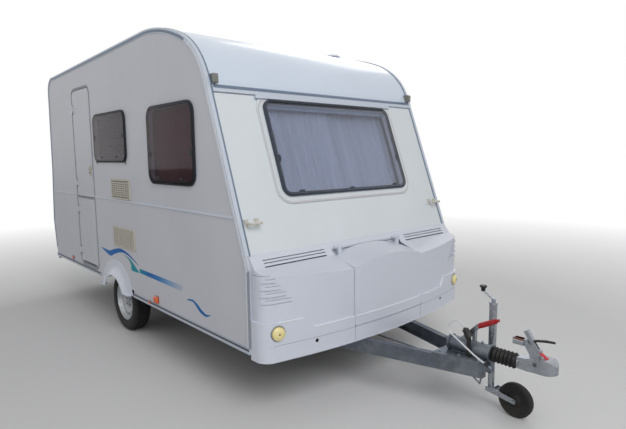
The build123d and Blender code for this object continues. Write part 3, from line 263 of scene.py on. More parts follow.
def settle(obj, material, slot=None, body="body", angle=32):
    """Shade a finished mesh object, give it its finish and set it riding on a body; its slot is not used."""
    mesh = obj.data
    mesh.polygons.foreach_set("use_smooth", [True] * len(mesh.polygons))
    mesh.set_sharp_from_angle(angle=radians(angle))
    if material:
        mesh.materials.append(material)
    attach(obj, body)
    return obj


def tidy_mesh(bm, mesh):
    """Merge a mesh's seams, turn its faces outwards and write it out."""
    bmesh.ops.remove_doubles(bm, verts=bm.verts, dist=1e-6)
    bmesh.ops.recalc_face_normals(bm, faces=bm.faces)
    bm.to_mesh(mesh)
    bm.free()


def solid(name, look, *shapes, **more):
    """A piece in one finish from shapes, each an add function with what it takes."""
    bm, mesh = bmesh.new(), bpy.data.meshes.new(name)
    for add, *sizes in shapes:
        add(bm, *sizes)
    tidy_mesh(bm, mesh)
    return settle(link(bpy.data.objects.new(name, mesh)), finish(look) if isinstance(look, str) else look, **more)


@cache
def surface_of(node):
    """A CAD node's surface for seating small pieces on it."""
    mesh = NODES[node].data
    return BVHTree.FromPolygons([v.co[:] for v in mesh.vertices], [p.vertices[:] for p in mesh.polygons])


def seat(node, start, towards):
    """Where a line from start first meets a CAD node, with the surface's direction there."""
    towards = Vector(towards).normalized()
    place, normal, _, _ = surface_of(node).ray_cast(Vector(start), towards)
    if place is None:
        raise RuntimeError(f"no surface of {node} beyond {tuple(start)}")
    return place, (normal if normal.dot(towards) < 0 else -normal)


def seats(node, starts, towards):
    """Seats of parallel lines on a CAD node."""
    return [seat(node, start, towards) for start in starts]


def on_skin(node, starts, towards, lift):
    """Points where parallel lines meet a CAD node, lifted off it a little."""
    return [place + normal * lift for place, normal in seats(node, starts, towards)]


# Node helpers, for materials and Geometry Nodes alike
class Nodes:
    """The nodes of one tree, added and fed in one line each."""

    def __init__(self, group):
        self.group = group

    def feed(self, socket, value):
        """Link a socket into another, or set its value."""
        if isinstance(value, bpy.types.NodeSocket):
            self.group.links.new(value, socket)
        else:
            socket.default_value = value

    def add(self, kind, values=None, **settings):
        """Add a node, set its options, then feed its sockets."""
        node = self.group.nodes.new(kind)
        for label, value in settings.items():
            setattr(node, label, value)
        for label, value in (values or {}).items():
            self.feed(node.inputs[label], value)
        return node

    def ends(self):
        """Add the group's input and output nodes."""
        self.inputs = self.group.nodes.new("NodeGroupInput")
        self.outputs = self.group.nodes.new("NodeGroupOutput")

    def math(self, operation, first, second):
        """One sum on two numbers or sockets."""
        return self.add("ShaderNodeMath", {0: first, 1: second}, operation=operation).outputs[0]

    def times(self, first, second):
        """The product of two numbers or sockets."""
        return self.math("MULTIPLY", first, second)

    def plus(self, first, second):
        """The sum of two numbers or sockets."""
        return self.math("ADD", first, second)

    def mix(self, factor, first, second, blend="MIX"):
        """Two colours mixed."""
        return self.add("ShaderNodeMix", {0: factor, 6: first, 7: second}, data_type="RGBA",
                        blend_type=blend).outputs[2]

    def out(self, **values):
        """Feed the group's outputs."""
        for label, value in values.items():
            self.group.links.new(value, self.outputs.inputs[label])


def once(make):
    """Makes a node tree when it is first asked for, and finds it by its name after that."""
    return lambda name: bpy.data.node_groups.get(name) or make(name)


class Tree(Nodes):
    """A Geometry Nodes tree under construction, with named inputs."""

    def __init__(self, name, sizes, materials=("Material",)):
        super().__init__(bpy.data.node_groups.new(name, "GeometryNodeTree"))
        face = self.group.interface
        for way in ("INPUT", "OUTPUT"):
            face.new_socket(name="Geometry", in_out=way, socket_type="NodeSocketGeometry")
        for label, value in sizes.items():
            kind = "NodeSocketInt" if isinstance(value, int) else "NodeSocketFloat"
            face.new_socket(name=label, in_out="INPUT", socket_type=kind).default_value = value
        for label in materials:
            face.new_socket(name=label, in_out="INPUT", socket_type="NodeSocketMaterial")
        self.ends()

    def size(self, label):
        """The group's own input of that name."""
        return self.inputs.outputs[label]

    def vector(self, **parts):
        """A vector from numbers or sockets."""
        return self.add("ShaderNodeCombineXYZ", parts).outputs[0]

    def moved(self, geometry, **change):
        """Geometry with a new Translation, Rotation or Scale."""
        return self.add("GeometryNodeTransform", {"Geometry": geometry, **change}).outputs[0]

    def cone(self, sides, wide, narrow, tall):
        """A closed cone or drum."""
        return self.add("GeometryNodeMeshCone", {"Vertices": sides, "Radius Bottom": wide, "Radius Top": narrow,
                                                 "Depth": tall}).outputs["Mesh"]

    def facing(self, name, axis, **more):
        """A rotation that turns an axis to a named direction of the base mesh."""
        way = self.add("GeometryNodeInputNamedAttribute", {"Name": name}, data_type="FLOAT_VECTOR")
        pivot = {"pivot_axis": "Z"} if more else {}
        return self.add("FunctionNodeAlignRotationToVector", {**more, "Vector": way.outputs["Attribute"]}, axis=axis,
                        **pivot).outputs[0]

    def at_points(self, geometry, turn):
        """Geometry at every point of the base mesh."""
        return self.add("GeometryNodeInstanceOnPoints", {"Points": self.size("Geometry"), "Instance": geometry,
                                                         "Rotation": turn}).outputs[0]

    def paint(self, geometry, label="Material"):
        """Give geometry one of the tree's materials."""
        return self.add("GeometryNodeSetMaterial", {"Geometry": geometry, "Material": self.size(label)}).outputs[0]

    def end(self, geometry, painted=False):
        """Realize the instances, paint them and close the tree."""
        real = self.add("GeometryNodeRealizeInstances", {"Geometry": geometry}).outputs[0]
        self.out(Geometry=real if painted else self.paint(real))
        return self.group

    def join(self, *parts):
        """Join several geometries."""
        node = self.add("GeometryNodeJoinGeometry")
        for part in parts:
            self.group.links.new(part, node.inputs[0])
        return node.outputs[0]


def grown(name, base, tree, values, **more):
    """Run a tree over a base mesh and keep the result as a plain piece."""
    source = link(bpy.data.objects.new(name + "_base", base))
    modifier = source.modifiers.new("tree", "NODES")
    modifier.node_group = tree
    sockets = {item.name: item.identifier for item in tree.interface.items_tree if item.in_out == "INPUT"}
    for label, value in values.items():
        modifier[sockets[label]] = value
    bpy.context.view_layer.update()
    mesh = bpy.data.meshes.new_from_object(source.evaluated_get(bpy.context.evaluated_depsgraph_get()))
    mesh.name = name
    bpy.data.objects.remove(source)
    if not mesh.polygons:
        raise RuntimeError(f"{name} came out empty")
    bm = bmesh.new()
    bm.from_mesh(mesh)
    tidy_mesh(bm, mesh)
    return settle(link(bpy.data.objects.new(name, mesh)), None, **more)


@once
def bead_tree(name):
    """A round bead that follows every edge of the base mesh."""
    tree = Tree(name, {"Radius": 0.003, "Sides": 8})
    path = tree.add("GeometryNodeMeshToCurve", {"Mesh": tree.size("Geometry")}).outputs[0]
    ring = tree.add("GeometryNodeCurvePrimitiveCircle",
                    {"Radius": tree.size("Radius"), "Resolution": tree.size("Sides")}).outputs[0]
    return tree.end(tree.add("GeometryNodeCurveToMesh", {"Curve": path, "Profile Curve": ring,
                                                         "Fill Caps": True}).outputs[0])


# Drums of each fixing's head as sides, lower and upper radius, height and lift, in shares of its size
HEADS = {
    "bolt": ((16, 1.35, 1.3, 0.18, -0.1), (6, 1.0, 1.0, 0.85, 0), (6, 1.0, 0.84, 0.15, 0.85)),
    "rivet": ((12, 1.0, 0.9, 0.45, -0.1), (12, 0.9, 0.45, 0.5, 0.35), (12, 0.45, 0.1, 0.15, 0.85)),
    "screw": ((14, 1.0, 0.96, 0.55, -0.1), (14, 0.96, 0.66, 0.45, 0.45)),
}


@once
def fixing_tree(name):
    """A fixing at every point of the base mesh, of the kind that the name starts with."""
    kind = name.split()[0]
    tree = Tree(name, {"Radius": 0.004, "Height": 0.0025}, ("Material", "Recess"))
    radius, height = tree.size("Radius"), tree.size("Height")

    def lifted(geometry, lift):
        return tree.moved(geometry, Translation=tree.vector(Z=tree.times(height, lift)))

    drums = [lifted(tree.cone(sides, tree.times(radius, wide), tree.times(radius, narrow), tree.times(height, tall)),
                    lift) for sides, wide, narrow, tall, lift in HEADS[kind]]
    head = tree.paint(tree.join(*drums))
    # A screw's head also gets a dark cross of bars near its top: painted shade standing for the shade of a recess,
    # which is not cut
    if kind == "screw":
        bars = [tree.add("GeometryNodeMeshCube", {"Size": tree.vector(
            X=tree.times(radius, x), Y=tree.times(radius, y), Z=tree.times(height, 0.3))}).outputs[0]
            for x, y in ((1.0, 0.24), (0.24, 1.0))]
        head = tree.join(head, tree.paint(lifted(tree.join(*bars), 0.78), "Recess"))
    return tree.end(tree.at_points(head, tree.facing("aim", "Z")), painted=True)


def fixings(name, kind, spots, radius, height, look="screw_steel", **more):
    """Screws, bolts or rivets at spots of (place, direction)."""
    return grown(name, spot_mesh(name + "_spots", spots), fixing_tree(f"{kind} at points"),
                 {"Radius": radius, "Height": height, "Material": finish(look), "Recess": finish("fixing_recess")},
                 **{"angle": 28, **more})


def spot_mesh(name, spots):
    """A mesh of points, each with the direction its surface faces."""
    mesh = bpy.data.meshes.new(name)
    mesh.from_pydata([tuple(p) for p, _ in spots], [], [])
    point_vectors(mesh, "aim", [n for _, n in spots])
    return mesh


def point_vectors(mesh, name, vectors):
    """Give a mesh's points a named vector each."""
    mesh.attributes.new(name, "FLOAT_VECTOR", "POINT").data.foreach_set("vector", [c for v in vectors for c in v])


def beads(name, lines, radius, look, closed=True, sides=8, **more):
    """A round bead along lines of points."""
    points, edges = [], []
    for line in lines:
        start, last = len(points), len(points) + len(line) - 1
        points += [tuple(p) for p in line]
        edges += [(i, i + 1) for i in range(start, last)] + ([(last, start)] if closed else [])
    mesh = bpy.data.meshes.new(name + "_lines")
    mesh.from_pydata(points, edges, [])
    return grown(name, mesh, bead_tree("bead along edges"),
                 {"Radius": radius, "Sides": sides, "Material": finish(look)}, **{"angle": 60, **more})


def seams(name, lines, radius, look="seam_grey", sides=6, **more):
    """A round bead along lines that stay open."""
    return beads(name, lines, radius, look, False, sides, **more)


# Finishes
def rgb(red, green, blue):
    """A colour read as screen values from 0 to 255, made linear."""
    return tuple(((c / 255 + 0.055) / 1.055) ** 2.4 if c > 10 else c / 3294.6 for c in (red, green, blue)) + (1,)


DUST, BLOOM, GRIME = rgb(122, 112, 98), rgb(176, 180, 180), rgb(84, 76, 66)
WHITE = (1, 1, 1, 1)


def shader_group(name, inputs, outputs):
    """A shader group under construction, with a socket for each input's start value and each output."""
    group = bpy.data.node_groups.new(name, "ShaderNodeTree")

    def socket(label, way, value):
        kind = "NodeSocketColor" if isinstance(value, tuple) else "NodeSocketFloat"
        group.interface.new_socket(name=label, in_out=way, socket_type=kind).default_value = value

    for label, value in inputs.items():
        socket(label, "INPUT", value)
    for label, value in outputs.items():
        socket(label, "OUTPUT", value)
    nodes = Nodes(group)
    nodes.ends()
    nodes.place = nodes.add("ShaderNodeTexCoord").outputs["Object"]
    return nodes


def stretched(nodes, scale, place=None):
    """The piece's own coordinates, scaled along each axis."""
    return nodes.add("ShaderNodeMapping", {"Vector": place or nodes.place, "Scale": scale}).outputs[0]


def noise(nodes, scale, detail=3.0, roughness=0.5, place=None):
    """A noise value at a scale in cells a metre."""
    return nodes.add("ShaderNodeTexNoise", {"Vector": place or nodes.place, "Scale": scale, "Detail": detail,
                                            "Roughness": roughness}).outputs[0]


def cells(nodes, scale, values=None, **settings):
    """A pattern of cells at a scale in cells a metre."""
    return nodes.add("ShaderNodeTexVoronoi", {"Vector": nodes.place, "Scale": scale, **(values or {})},
                     **settings).outputs


def span(nodes, value, low, high, new_low=0.0, new_high=1.0):
    """A value taken from one range to another and held there."""
    return nodes.add("ShaderNodeMapRange", {"Value": value, "From Min": low, "From Max": high,
                                            "To Min": new_low, "To Max": new_high}).outputs[0]


@once
def paint_look(name):
    """Colour and roughness of a painted or moulded face that has stood outdoors."""
    nodes = shader_group(name, {"Colour": (0.8, 0.8, 0.8, 1), "Roughness": 0.4, "Dust": 0.3, "Dust Top": 0.9,
                                "Streaks": 0.15, "Variation": 0.04}, {"Colour": WHITE, "Roughness": 0.0})
    read = nodes.inputs.outputs
    height = nodes.add("ShaderNodeSeparateXYZ", {"Vector": nodes.place}).outputs["Z"]
    broad, fine = noise(nodes, 1.6), noise(nodes, 26.0, 5.0, 0.6)
    low, high = nodes.math("SUBTRACT", 1.0, read["Variation"]), nodes.plus(1.0, read["Variation"])
    tinted = nodes.mix(1.0, read["Colour"], span(nodes, broad, 0.3, 0.7, low, high), "MULTIPLY")
    near_ground = nodes.math("POWER", span(nodes, height, read["Dust Top"], 0.0), 1.6)
    speckled = nodes.times(near_ground, span(nodes, fine, 0.35, 0.7, 0.35, 1.0))
    runs = noise(nodes, 2.4, 4.0, 0.6, stretched(nodes, (9, 9, 0.32)))
    streak = nodes.times(span(nodes, runs, 0.52, 0.8), read["Streaks"])
    soiled = nodes.math("MAXIMUM", nodes.times(speckled, read["Dust"]), streak)
    rough = nodes.plus(read["Roughness"], nodes.times(soiled, 0.35))
    nodes.out(Colour=nodes.mix(soiled, tinted, DUST),
              Roughness=nodes.plus(rough, span(nodes, fine, 0.3, 0.7, -0.03, 0.03)))
    return nodes.group


@once
def zinc_look(name):
    """Colour and roughness of hot-dip galvanised steel with its spangle and white bloom."""
    nodes = shader_group(name, {"Colour": (0.6, 0.6, 0.6, 1), "Roughness": 0.45, "Spangle": 60.0, "Bloom": 0.4,
                                "Dust": 0.3}, {"Colour": WHITE, "Roughness": 0.0})
    read = nodes.inputs.outputs
    crystal = cells(nodes, read["Spangle"])["Color"]
    grey = nodes.add("ShaderNodeSeparateColor", {"Color": crystal}).outputs[0]
    tinted = nodes.mix(1.0, read["Colour"], span(nodes, grey, 0.0, 1.0, 0.9, 1.08), "MULTIPLY")
    patches = span(nodes, noise(nodes, 7.0, 5.0, 0.65), 0.48, 0.72)
    bloomed = nodes.mix(nodes.times(patches, read["Bloom"]), tinted, BLOOM)
    grime = span(nodes, noise(nodes, 16.0, 4.0, 0.6), 0.5, 0.75)
    rough = nodes.plus(read["Roughness"], nodes.times(patches, 0.25))
    nodes.out(Colour=nodes.mix(nodes.times(grime, read["Dust"]), bloomed, GRIME),
              Roughness=nodes.plus(rough, span(nodes, grey, 0.0, 1.0, -0.08, 0.08)))
    return nodes.group


@once
def grain_look(name):
    """Height of a fine surface grain: peel, hammered, moulded, brushed or scuffed."""
    kind = name.split()[0]
    nodes = shader_group(name, {"Scale": 100.0}, {"Height": 0.0})
    scale = nodes.inputs.outputs["Scale"]
    if kind == "hammered":
        dimples = cells(nodes, scale, {"Smoothness": 1.0}, feature="SMOOTH_F1")["Distance"]
        height = span(nodes, dimples, 0.0, 0.8, 1.0, 0.0)
    elif kind == "moulded":
        height = nodes.times(span(nodes, cells(nodes, scale)["Distance"], 0.0, 0.7), noise(nodes, scale, 2.0))
    elif kind == "brushed":
        height = noise(nodes, scale, 4.0, 0.65, stretched(nodes, (0.03, 1, 1)))
    elif kind == "scuffed":
        height = span(nodes, noise(nodes, scale, 2.0, 0.5, stretched(nodes, (1, 0.4, 1))), 0.42, 0.7)
    else:
        height = noise(nodes, scale, 2.0, 0.4)
    nodes.out(Height=height)
    return nodes.group


@once
def weave_look(name):
    """Colour and height of a plain woven cloth, in metres along its own UV map, with painted shade in broad vertical
    bands for its folds.
    """
    nodes = shader_group(name, {"Colour": (0.3, 0.1, 0.1, 1), "Threads": 900.0}, {"Colour": WHITE, "Height": 0.0})
    read = nodes.inputs.outputs
    cloth_map = nodes.add("ShaderNodeUVMap").outputs[0]
    woven = nodes.math("MAXIMUM", *(nodes.add(
        "ShaderNodeTexWave", {"Vector": cloth_map, "Scale": read["Threads"], "Distortion": 0.4, "Detail": 1.0},
        bands_direction=way).outputs["Fac"] for way in ("X", "Y")))
    slub = noise(nodes, 90.0, 4.0, 0.6, stretched(nodes, (1, 0.12, 1), cloth_map))
    # The faded bands run up and down the cloth and are mostly darker: painted shade of the curtain's folds
    faded = noise(nodes, 7.0, 2.0, 0.5, stretched(nodes, (1, 0.05, 1), cloth_map))
    shade = nodes.plus(span(nodes, woven, 0.0, 1.0, 0.86, 1.0), span(nodes, slub, 0.3, 0.7, -0.05, 0.05))
    shade = nodes.plus(shade, span(nodes, faded, 0.3, 0.7, -0.16, 0.04))
    nodes.out(Colour=nodes.mix(1.0, read["Colour"], shade, "MULTIPLY"), Height=woven)
    return nodes.group


def new_material(name, settings):
    """A material with settings on its shader, and the nodes to build it with."""
    material = bpy.data.materials.new(name)
    material.use_nodes = True
    shader = material.node_tree.nodes["Principled BSDF"]
    for label, value in settings.items():
        shader.inputs[label].default_value = value
    return material, Nodes(material.node_tree), shader.inputs


def bump(nodes, inputs, height, depth):
    """Raise a surface by a height pattern of a depth in metres."""
    nodes.feed(inputs["Normal"], nodes.add("ShaderNodeBump", {"Height": height, "Distance": depth}).outputs[0])


def shade(name, colour, roughness, grain, scale, depth, settings, dust=0.25, streaks=0.1, zinc=None, dust_top=0.9,
          variation=0.03):
    """A material from a colour look and a grain of a depth in micrometres, its zinc as (spangle, bloom)."""
    material, nodes, inputs = new_material(name, settings)
    values = {"Colour": colour, "Roughness": roughness, "Dust": dust}
    if zinc:
        values |= {"Spangle": zinc[0], "Bloom": zinc[1]}
    else:
        values |= {"Dust Top": dust_top, "Streaks": streaks, "Variation": variation}
    tree = zinc_look("galvanised face") if zinc else paint_look("weathered face")
    made = nodes.add("ShaderNodeGroup", values, node_tree=tree)
    for label, output in (("Base Color", "Colour"), ("Roughness", "Roughness")):
        nodes.feed(inputs[label], made.outputs[output])
    surface = nodes.add("ShaderNodeGroup", {"Scale": scale}, node_tree=grain_look(f"{grain} grain"))
    bump(nodes, inputs, surface.outputs["Height"], depth * 1e-6)
    material.diffuse_color = colour
    return material


THIN_COAT = {"Coat Weight": 0.12, "Coat Roughness": 0.3}
GLOSS = {"Coat Weight": 0.35, "Coat Roughness": 0.12}
PLASTIC = {"Specular IOR Level": 0.45}
RUBBER = {"Specular IOR Level": 0.35}
METAL = {"Metallic": 1.0}
LENS = {"Coat Weight": 0.8, "Coat Roughness": 0.05, "Subsurface Weight": 0.0}
ACRYLIC = {"Transmission Weight": 1.0, "IOR": 1.49, "Specular IOR Level": 0.25}

# Each finish as screen colour, roughness, grain, its cells a metre and its depth in micrometres, the shader's
# settings, and dust and streaks where they aren't the usual ones
FINISHES = {
    "wall_white": ((203, 205, 213), 0.42, "hammered", 150, 100, THIN_COAT, 0.08, 0.03),
    "roof_white": ((214, 225, 240), 0.34, "peel", 60, 20, GLOSS, 0.05, 0.03),
    "front_cream": ((220, 226, 231), 0.36, "peel", 80, 20, GLOSS, 0.04, 0.02),
    "floor_ply": ((58, 50, 43), 0.75, "brushed", 220, 300, {}, 0.5),
    "liner_black": ((26, 26, 28), 0.7, "moulded", 500, 200, PLASTIC, 0.5),
    "moulding_white": ((214, 219, 231), 0.3, "peel", 260, 8, GLOSS, 0.03, 0.02),
    "trim_aluminium": ((196, 204, 216), 0.4, "brushed", 700, 30, {"Metallic": 0.3}, 0.08, 0.06),
    "window_rubber": ((36, 41, 52), 0.55, "moulded", 700, 80, RUBBER, 0.03, 0.03),
    "window_tint": ((208, 210, 222), 0.05, "peel", 12, 100, ACRYLIC, 0.0, 0.03),
    "vent_beige": ((196, 191, 181), 0.5, "moulded", 600, 80, PLASTIC, 0.25, 0.14),
    "hinge_steel": ((188, 190, 194), 0.34, "brushed", 900, 40, METAL),
    # galvanised_steel is darker than bare zinc: partly its own dull grey, partly a painted reflection of dark ground
    "galvanised_steel": ((102, 109, 119), 0.46, "scuffed", 70, 80, {"Metallic": 0.75}, 0.3),
    "zinc_steel": ((158, 163, 170), 0.3, "scuffed", 160, 20, {"Metallic": 0.8}, 0.12),
    "bellows_rubber": ((13, 13, 14), 0.58, "moulded", 450, 150, RUBBER, 0.06),
    "lamp_amber": ((248, 232, 166), 0.16, "peel", 160, 100, LENS),
    "lamp_smoke": ((112, 114, 104), 0.16, "peel", 160, 100, LENS),
    "lamp_red": ((158, 16, 18), 0.15, "peel", 180, 120, LENS),
    "handle_beige": ((208, 206, 197), 0.42, "moulded", 600, 80, PLASTIC),
    "side_tint": ((170, 156, 168), 0.05, "peel", 12, 100, ACRYLIC | {"IOR": 1.18}, 0.0, 0.03),
    "front_rubber": ((58, 68, 84), 0.5, "moulded", 700, 60, RUBBER, 0.02, 0.03),
    "dome_clear": ((226, 230, 232), 0.12, "peel", 30, 200, ACRYLIC, 0.0),
    "rim_silver": ((186, 190, 195), 0.36, "peel", 260, 40, {"Metallic": 0.55, "Coat Weight": 0.3}, 0.3),
    "grip_red": ((168, 22, 32), 0.36, "moulded", 500, 100, PLASTIC, 0.1),
    "lead_grey": ((216, 219, 222), 0.45, "peel", 420, 80, PLASTIC, 0.12),
    "plug_black": ((24, 24, 26), 0.45, "moulded", 700, 100, PLASTIC, 0.15),
    "tyre_black": ((24, 25, 28), 0.72, "scuffed", 240, 200, RUBBER, 0.12),
    # Dark colour of the crosses on screw heads: painted shade of their recesses
    "fixing_recess": ((38, 38, 40), 0.6, "moulded", 900, 40, {}),
    "trim_insert": ((224, 228, 236), 0.4, "peel", 500, 40, PLASTIC, 0.25, 0.12),
    # Grey of the band round the front window: painted shade
    "surround_grey": ((202, 202, 206), 0.5, "peel", 90, 40, PLASTIC),
    "frame_grey": ((142, 146, 156), 0.5, "moulded", 700, 40, PLASTIC, 0.2),
    # Grey of real seams and joints, and of the painted shadow lines along the locker's fins and under the belt
    # moulding
    "seam_grey": ((146, 151, 162), 0.55, "moulded", 800, 40, PLASTIC, 0.2),
    "seam_dark": ((74, 80, 90), 0.5, "moulded", 800, 40, PLASTIC),
    "trim_dark": ((108, 124, 146), 0.4, "brushed", 700, 40, PLASTIC, 0.2),
    "lamp_screw": ((120, 92, 40), 0.4, "moulded", 900, 40, PLASTIC),
    "vent_shadow": ((62, 60, 57), 0.8, "moulded", 500, 100, PLASTIC, 0.3),
    "blind_dark": ((24, 28, 36), 0.7, "brushed", 600, 100, PLASTIC, 0.0, 0.0),
    "reflector_red": ((206, 52, 44), 0.16, "hammered", 500, 300, LENS),
    # A brighter white than the mouldings, for beads along the locker's ledges: painted highlight
    "edge_white": ((242, 245, 250), 0.24, "peel", 260, 8, GLOSS, 0.0, 0.0),
    "seal_black": ((24, 27, 34), 0.6, "moulded", 800, 60, RUBBER, 0.04, 0.03),
    "screw_steel": ((176, 178, 182), 0.32, "scuffed", 900, 20, METAL, 0.1),
    "screw_beige": ((190, 182, 160), 0.45, "moulded", 900, 40, {}),
    "bolt_zinc": ((146, 150, 156), 0.4, "scuffed", 500, 40, {"Metallic": 0.9}),
    "marker_orange": ((232, 98, 24), 0.14, "hammered", 420, 300, LENS),
    "lens_white": ((214, 214, 208), 0.12, "hammered", 360, 300, LENS),
    "strap_red": ((196, 34, 56), 0.42, "moulded", 600, 40, PLASTIC),
    "cap_rust": ((112, 58, 46), 0.5, "moulded", 500, 40, PLASTIC),
    "blind_blue": ((168, 186, 206), 0.5, "brushed", 400, 40, PLASTIC),
    "liner_cream": ((196, 190, 174), 0.55, "moulded", 300, 40, {}, 0.05),
}
# What a few of them have besides: zinc as (spangle in cells a metre, bloom), the dust's top in metres, mottle
BESIDES = {
    "galvanised_steel": {"zinc": (60.0, 0.35)}, "zinc_steel": {"zinc": (140.0, 0.08)},
    "bolt_zinc": {"zinc": (300.0, 0.35)}, "rim_silver": {"dust_top": 0.6}, "tyre_black": {"dust_top": 0.7},
    "floor_ply": {"variation": 0.12},
}


def finish(name):
    """The material of that name, made when it is first asked for."""
    if name in bpy.data.materials:
        return bpy.data.materials[name]
    colour, *rest = FINISHES[name]
    return shade(name, rgb(*colour), *rest, **BESIDES.get(name, {}))


def cloth(name, colour):
    """A woven curtain cloth, darker or lighter between its threads."""
    material, nodes, inputs = new_material(name, {"Roughness": 0.85, "Sheen Weight": 0.25, "Sheen Roughness": 0.4})
    woven = nodes.add("ShaderNodeGroup", {"Colour": colour}, node_tree=weave_look("curtain weave"))
    nodes.feed(inputs["Base Color"], woven.outputs["Colour"])
    bump(nodes, inputs, woven.outputs["Height"], 0.0003)
    material.diffuse_color = colour
    return material


def film(name, colours, start, end):
    """A vinyl stripe whose colour runs along the wall through the given colours."""
    material = shade(name, colours[0], 0.5, "peel", 500, 40, {"Specular IOR Level": 0.2}, 0.1, 0.03)
    nodes = Nodes(material.node_tree)
    look = next(n for n in material.node_tree.nodes if n.type == "GROUP" and "Colour" in n.outputs)
    along = nodes.add("ShaderNodeSeparateXYZ", {"Vector": nodes.add("ShaderNodeTexCoord").outputs["Object"]})
    ramp = nodes.add("ShaderNodeValToRGB", {"Fac": span(nodes, along.outputs["X"], start, end)})
    stops = ramp.color_ramp.elements
    stops[0].color, stops[1].color = colours[0], colours[-1]
    for i, colour in enumerate(colours[1:-1], 1):
        stops.new(i / (len(colours) - 1)).color = colour
    nodes.feed(look.inputs["Colour"], ramp.outputs["Color"])
    return material


# Sizes and colours that a user would change
def tint(name, about, colour):
    """A colour that a user may change."""
    return FloatVectorProperty(name=name, description=about, subtype="COLOR", default=colour[:3], min=0, max=1)


def length(name, about, usual, least, most):
    """A length in metres that a user may change."""
    return FloatProperty(name=name, description=about, default=usual, min=least, max=most, unit="LENGTH")


def power(name, about, usual):
    """A lamp's power that a user may change."""
    return FloatProperty(name=name, description=about, default=usual, min=0, unit="POWER")


class StageSettings(bpy.types.PropertyGroup):
    lens: FloatProperty(name="Lens", description="Focal length of the photo camera in millimetres",
                        default=28.72, min=10, max=200)
    key_power: power("Key Power", "Power of the main lamp", 330)
    fill_power: power("Fill Power", "Power of the lamp on the door side", 30)
    rim_power: power("Rim Power", "Power of the lamp behind", 170)
    sky: FloatProperty(name="Sky", description="Strength of the world's light on the caravan", default=0.34, min=0)
    floor_colour: tint("Floor", "Colour of the floor", (0.74, 0.74, 0.74))


class LeadSettings(bpy.types.PropertyGroup):
    relief: length("Strain Relief", "Length of the tapered sleeve where the lead comes out", 0.032, 0.02, 0.06)
    rib_count: IntProperty(name="Plug Ribs", description="Grip rings round the plug", default=5, min=2, max=9)


class TyreSettings(bpy.types.PropertyGroup):
    block_count: IntProperty(name="Tread Blocks", description="Blocks round one row of the tread", default=58,
                             min=24, max=96)
    groove: length("Groove Depth", "Depth of the tread", 0.0055, 0.002, 0.009)
    skew: FloatProperty(name="Skew", description="How far the middle blocks lean", default=0.42, min=0, max=0.8,
                        unit="ROTATION")


class CurtainSettings(bpy.types.PropertyGroup):
    side_colour: tint("Side Curtains", "Colour of the side windows' curtains", rgb(128, 52, 66))
    front_colour: tint("Front Curtains", "Colour of the front window's curtains", rgb(216, 227, 240))
    fold_depth: length("Fold Depth", "Half the depth of a curtain's folds", 0.015, 0.003, 0.016)


class TrimSettings(bpy.types.PropertyGroup):
    gasket: length("Gasket Bead", "Radius of the windows' rubber bead", 0.0026, 0.001, 0.005)
    insert: length("Trim Insert", "Width of the strip in the edge trims", 0.019, 0.006, 0.026)
    stripe_blue: tint("Stripe Blue", "The stripes' deep colour", rgb(10, 100, 176))
    stripe_teal: tint("Stripe Teal", "The stripes' second colour", rgb(0, 142, 158))


class CaravanPiece:
    """What every operator of this file shares."""
    bl_options = {"REGISTER", "UNDO"}

    def execute(self, context):
        self.make(context)
        return {"FINISHED"}


# The stage and the lead come first
FLOOR_HALF, LOOK_AT = 60, Vector((0, 0, 1.2))


def camera_matrix():
    """The photo camera's place and directions."""
    yaw, pitch, roll = (radians(a) for a in (CAMERA_YAW, CAMERA_PITCH, CAMERA_ROLL))
    ahead = Vector((cos(yaw) * cos(pitch), sin(yaw) * cos(pitch), sin(pitch)))
    level_right = Vector((sin(yaw), -cos(yaw), 0))
    level_up = level_right.cross(ahead)
    right = cos(roll) * level_right + sin(roll) * level_up
    up = -sin(roll) * level_right + cos(roll) * level_up
    return Matrix.Translation(CAMERA_PLACE) @ Matrix((right, up, -ahead)).transposed().to_4x4()


def floor_material(colour):
    """A pale matt floor with a faint mottle that fades to the backdrop's white in the distance."""
    material, nodes, inputs = new_material("stage_floor", {"Roughness": 0.95})
    nodes.place = nodes.add("ShaderNodeTexCoord").outputs["Object"]
    mottle = span(nodes, noise(nodes, 0.5), 0.3, 0.7, 0.98, 1.0)
    nodes.feed(inputs["Base Color"], nodes.mix(1.0, (*colour, 1), mottle, "MULTIPLY"))
    away = nodes.add("ShaderNodeVectorMath", {0: nodes.place}, operation="LENGTH").outputs["Value"]
    seen = nodes.add("ShaderNodeLightPath").outputs["Is Camera Ray"]
    glow = nodes.add("ShaderNodeEmission", {"Color": WHITE, "Strength": 1.0}).outputs[0]
    plain_floor = material.node_tree.nodes["Principled BSDF"].outputs[0]
    faded = nodes.add("ShaderNodeMixShader", {0: nodes.times(span(nodes, away, 3.2, 9.5), seen), 1: plain_floor,
                                              2: glow}).outputs[0]
    nodes.feed(material.node_tree.nodes["Material Output"].inputs["Surface"], faded)
    return material


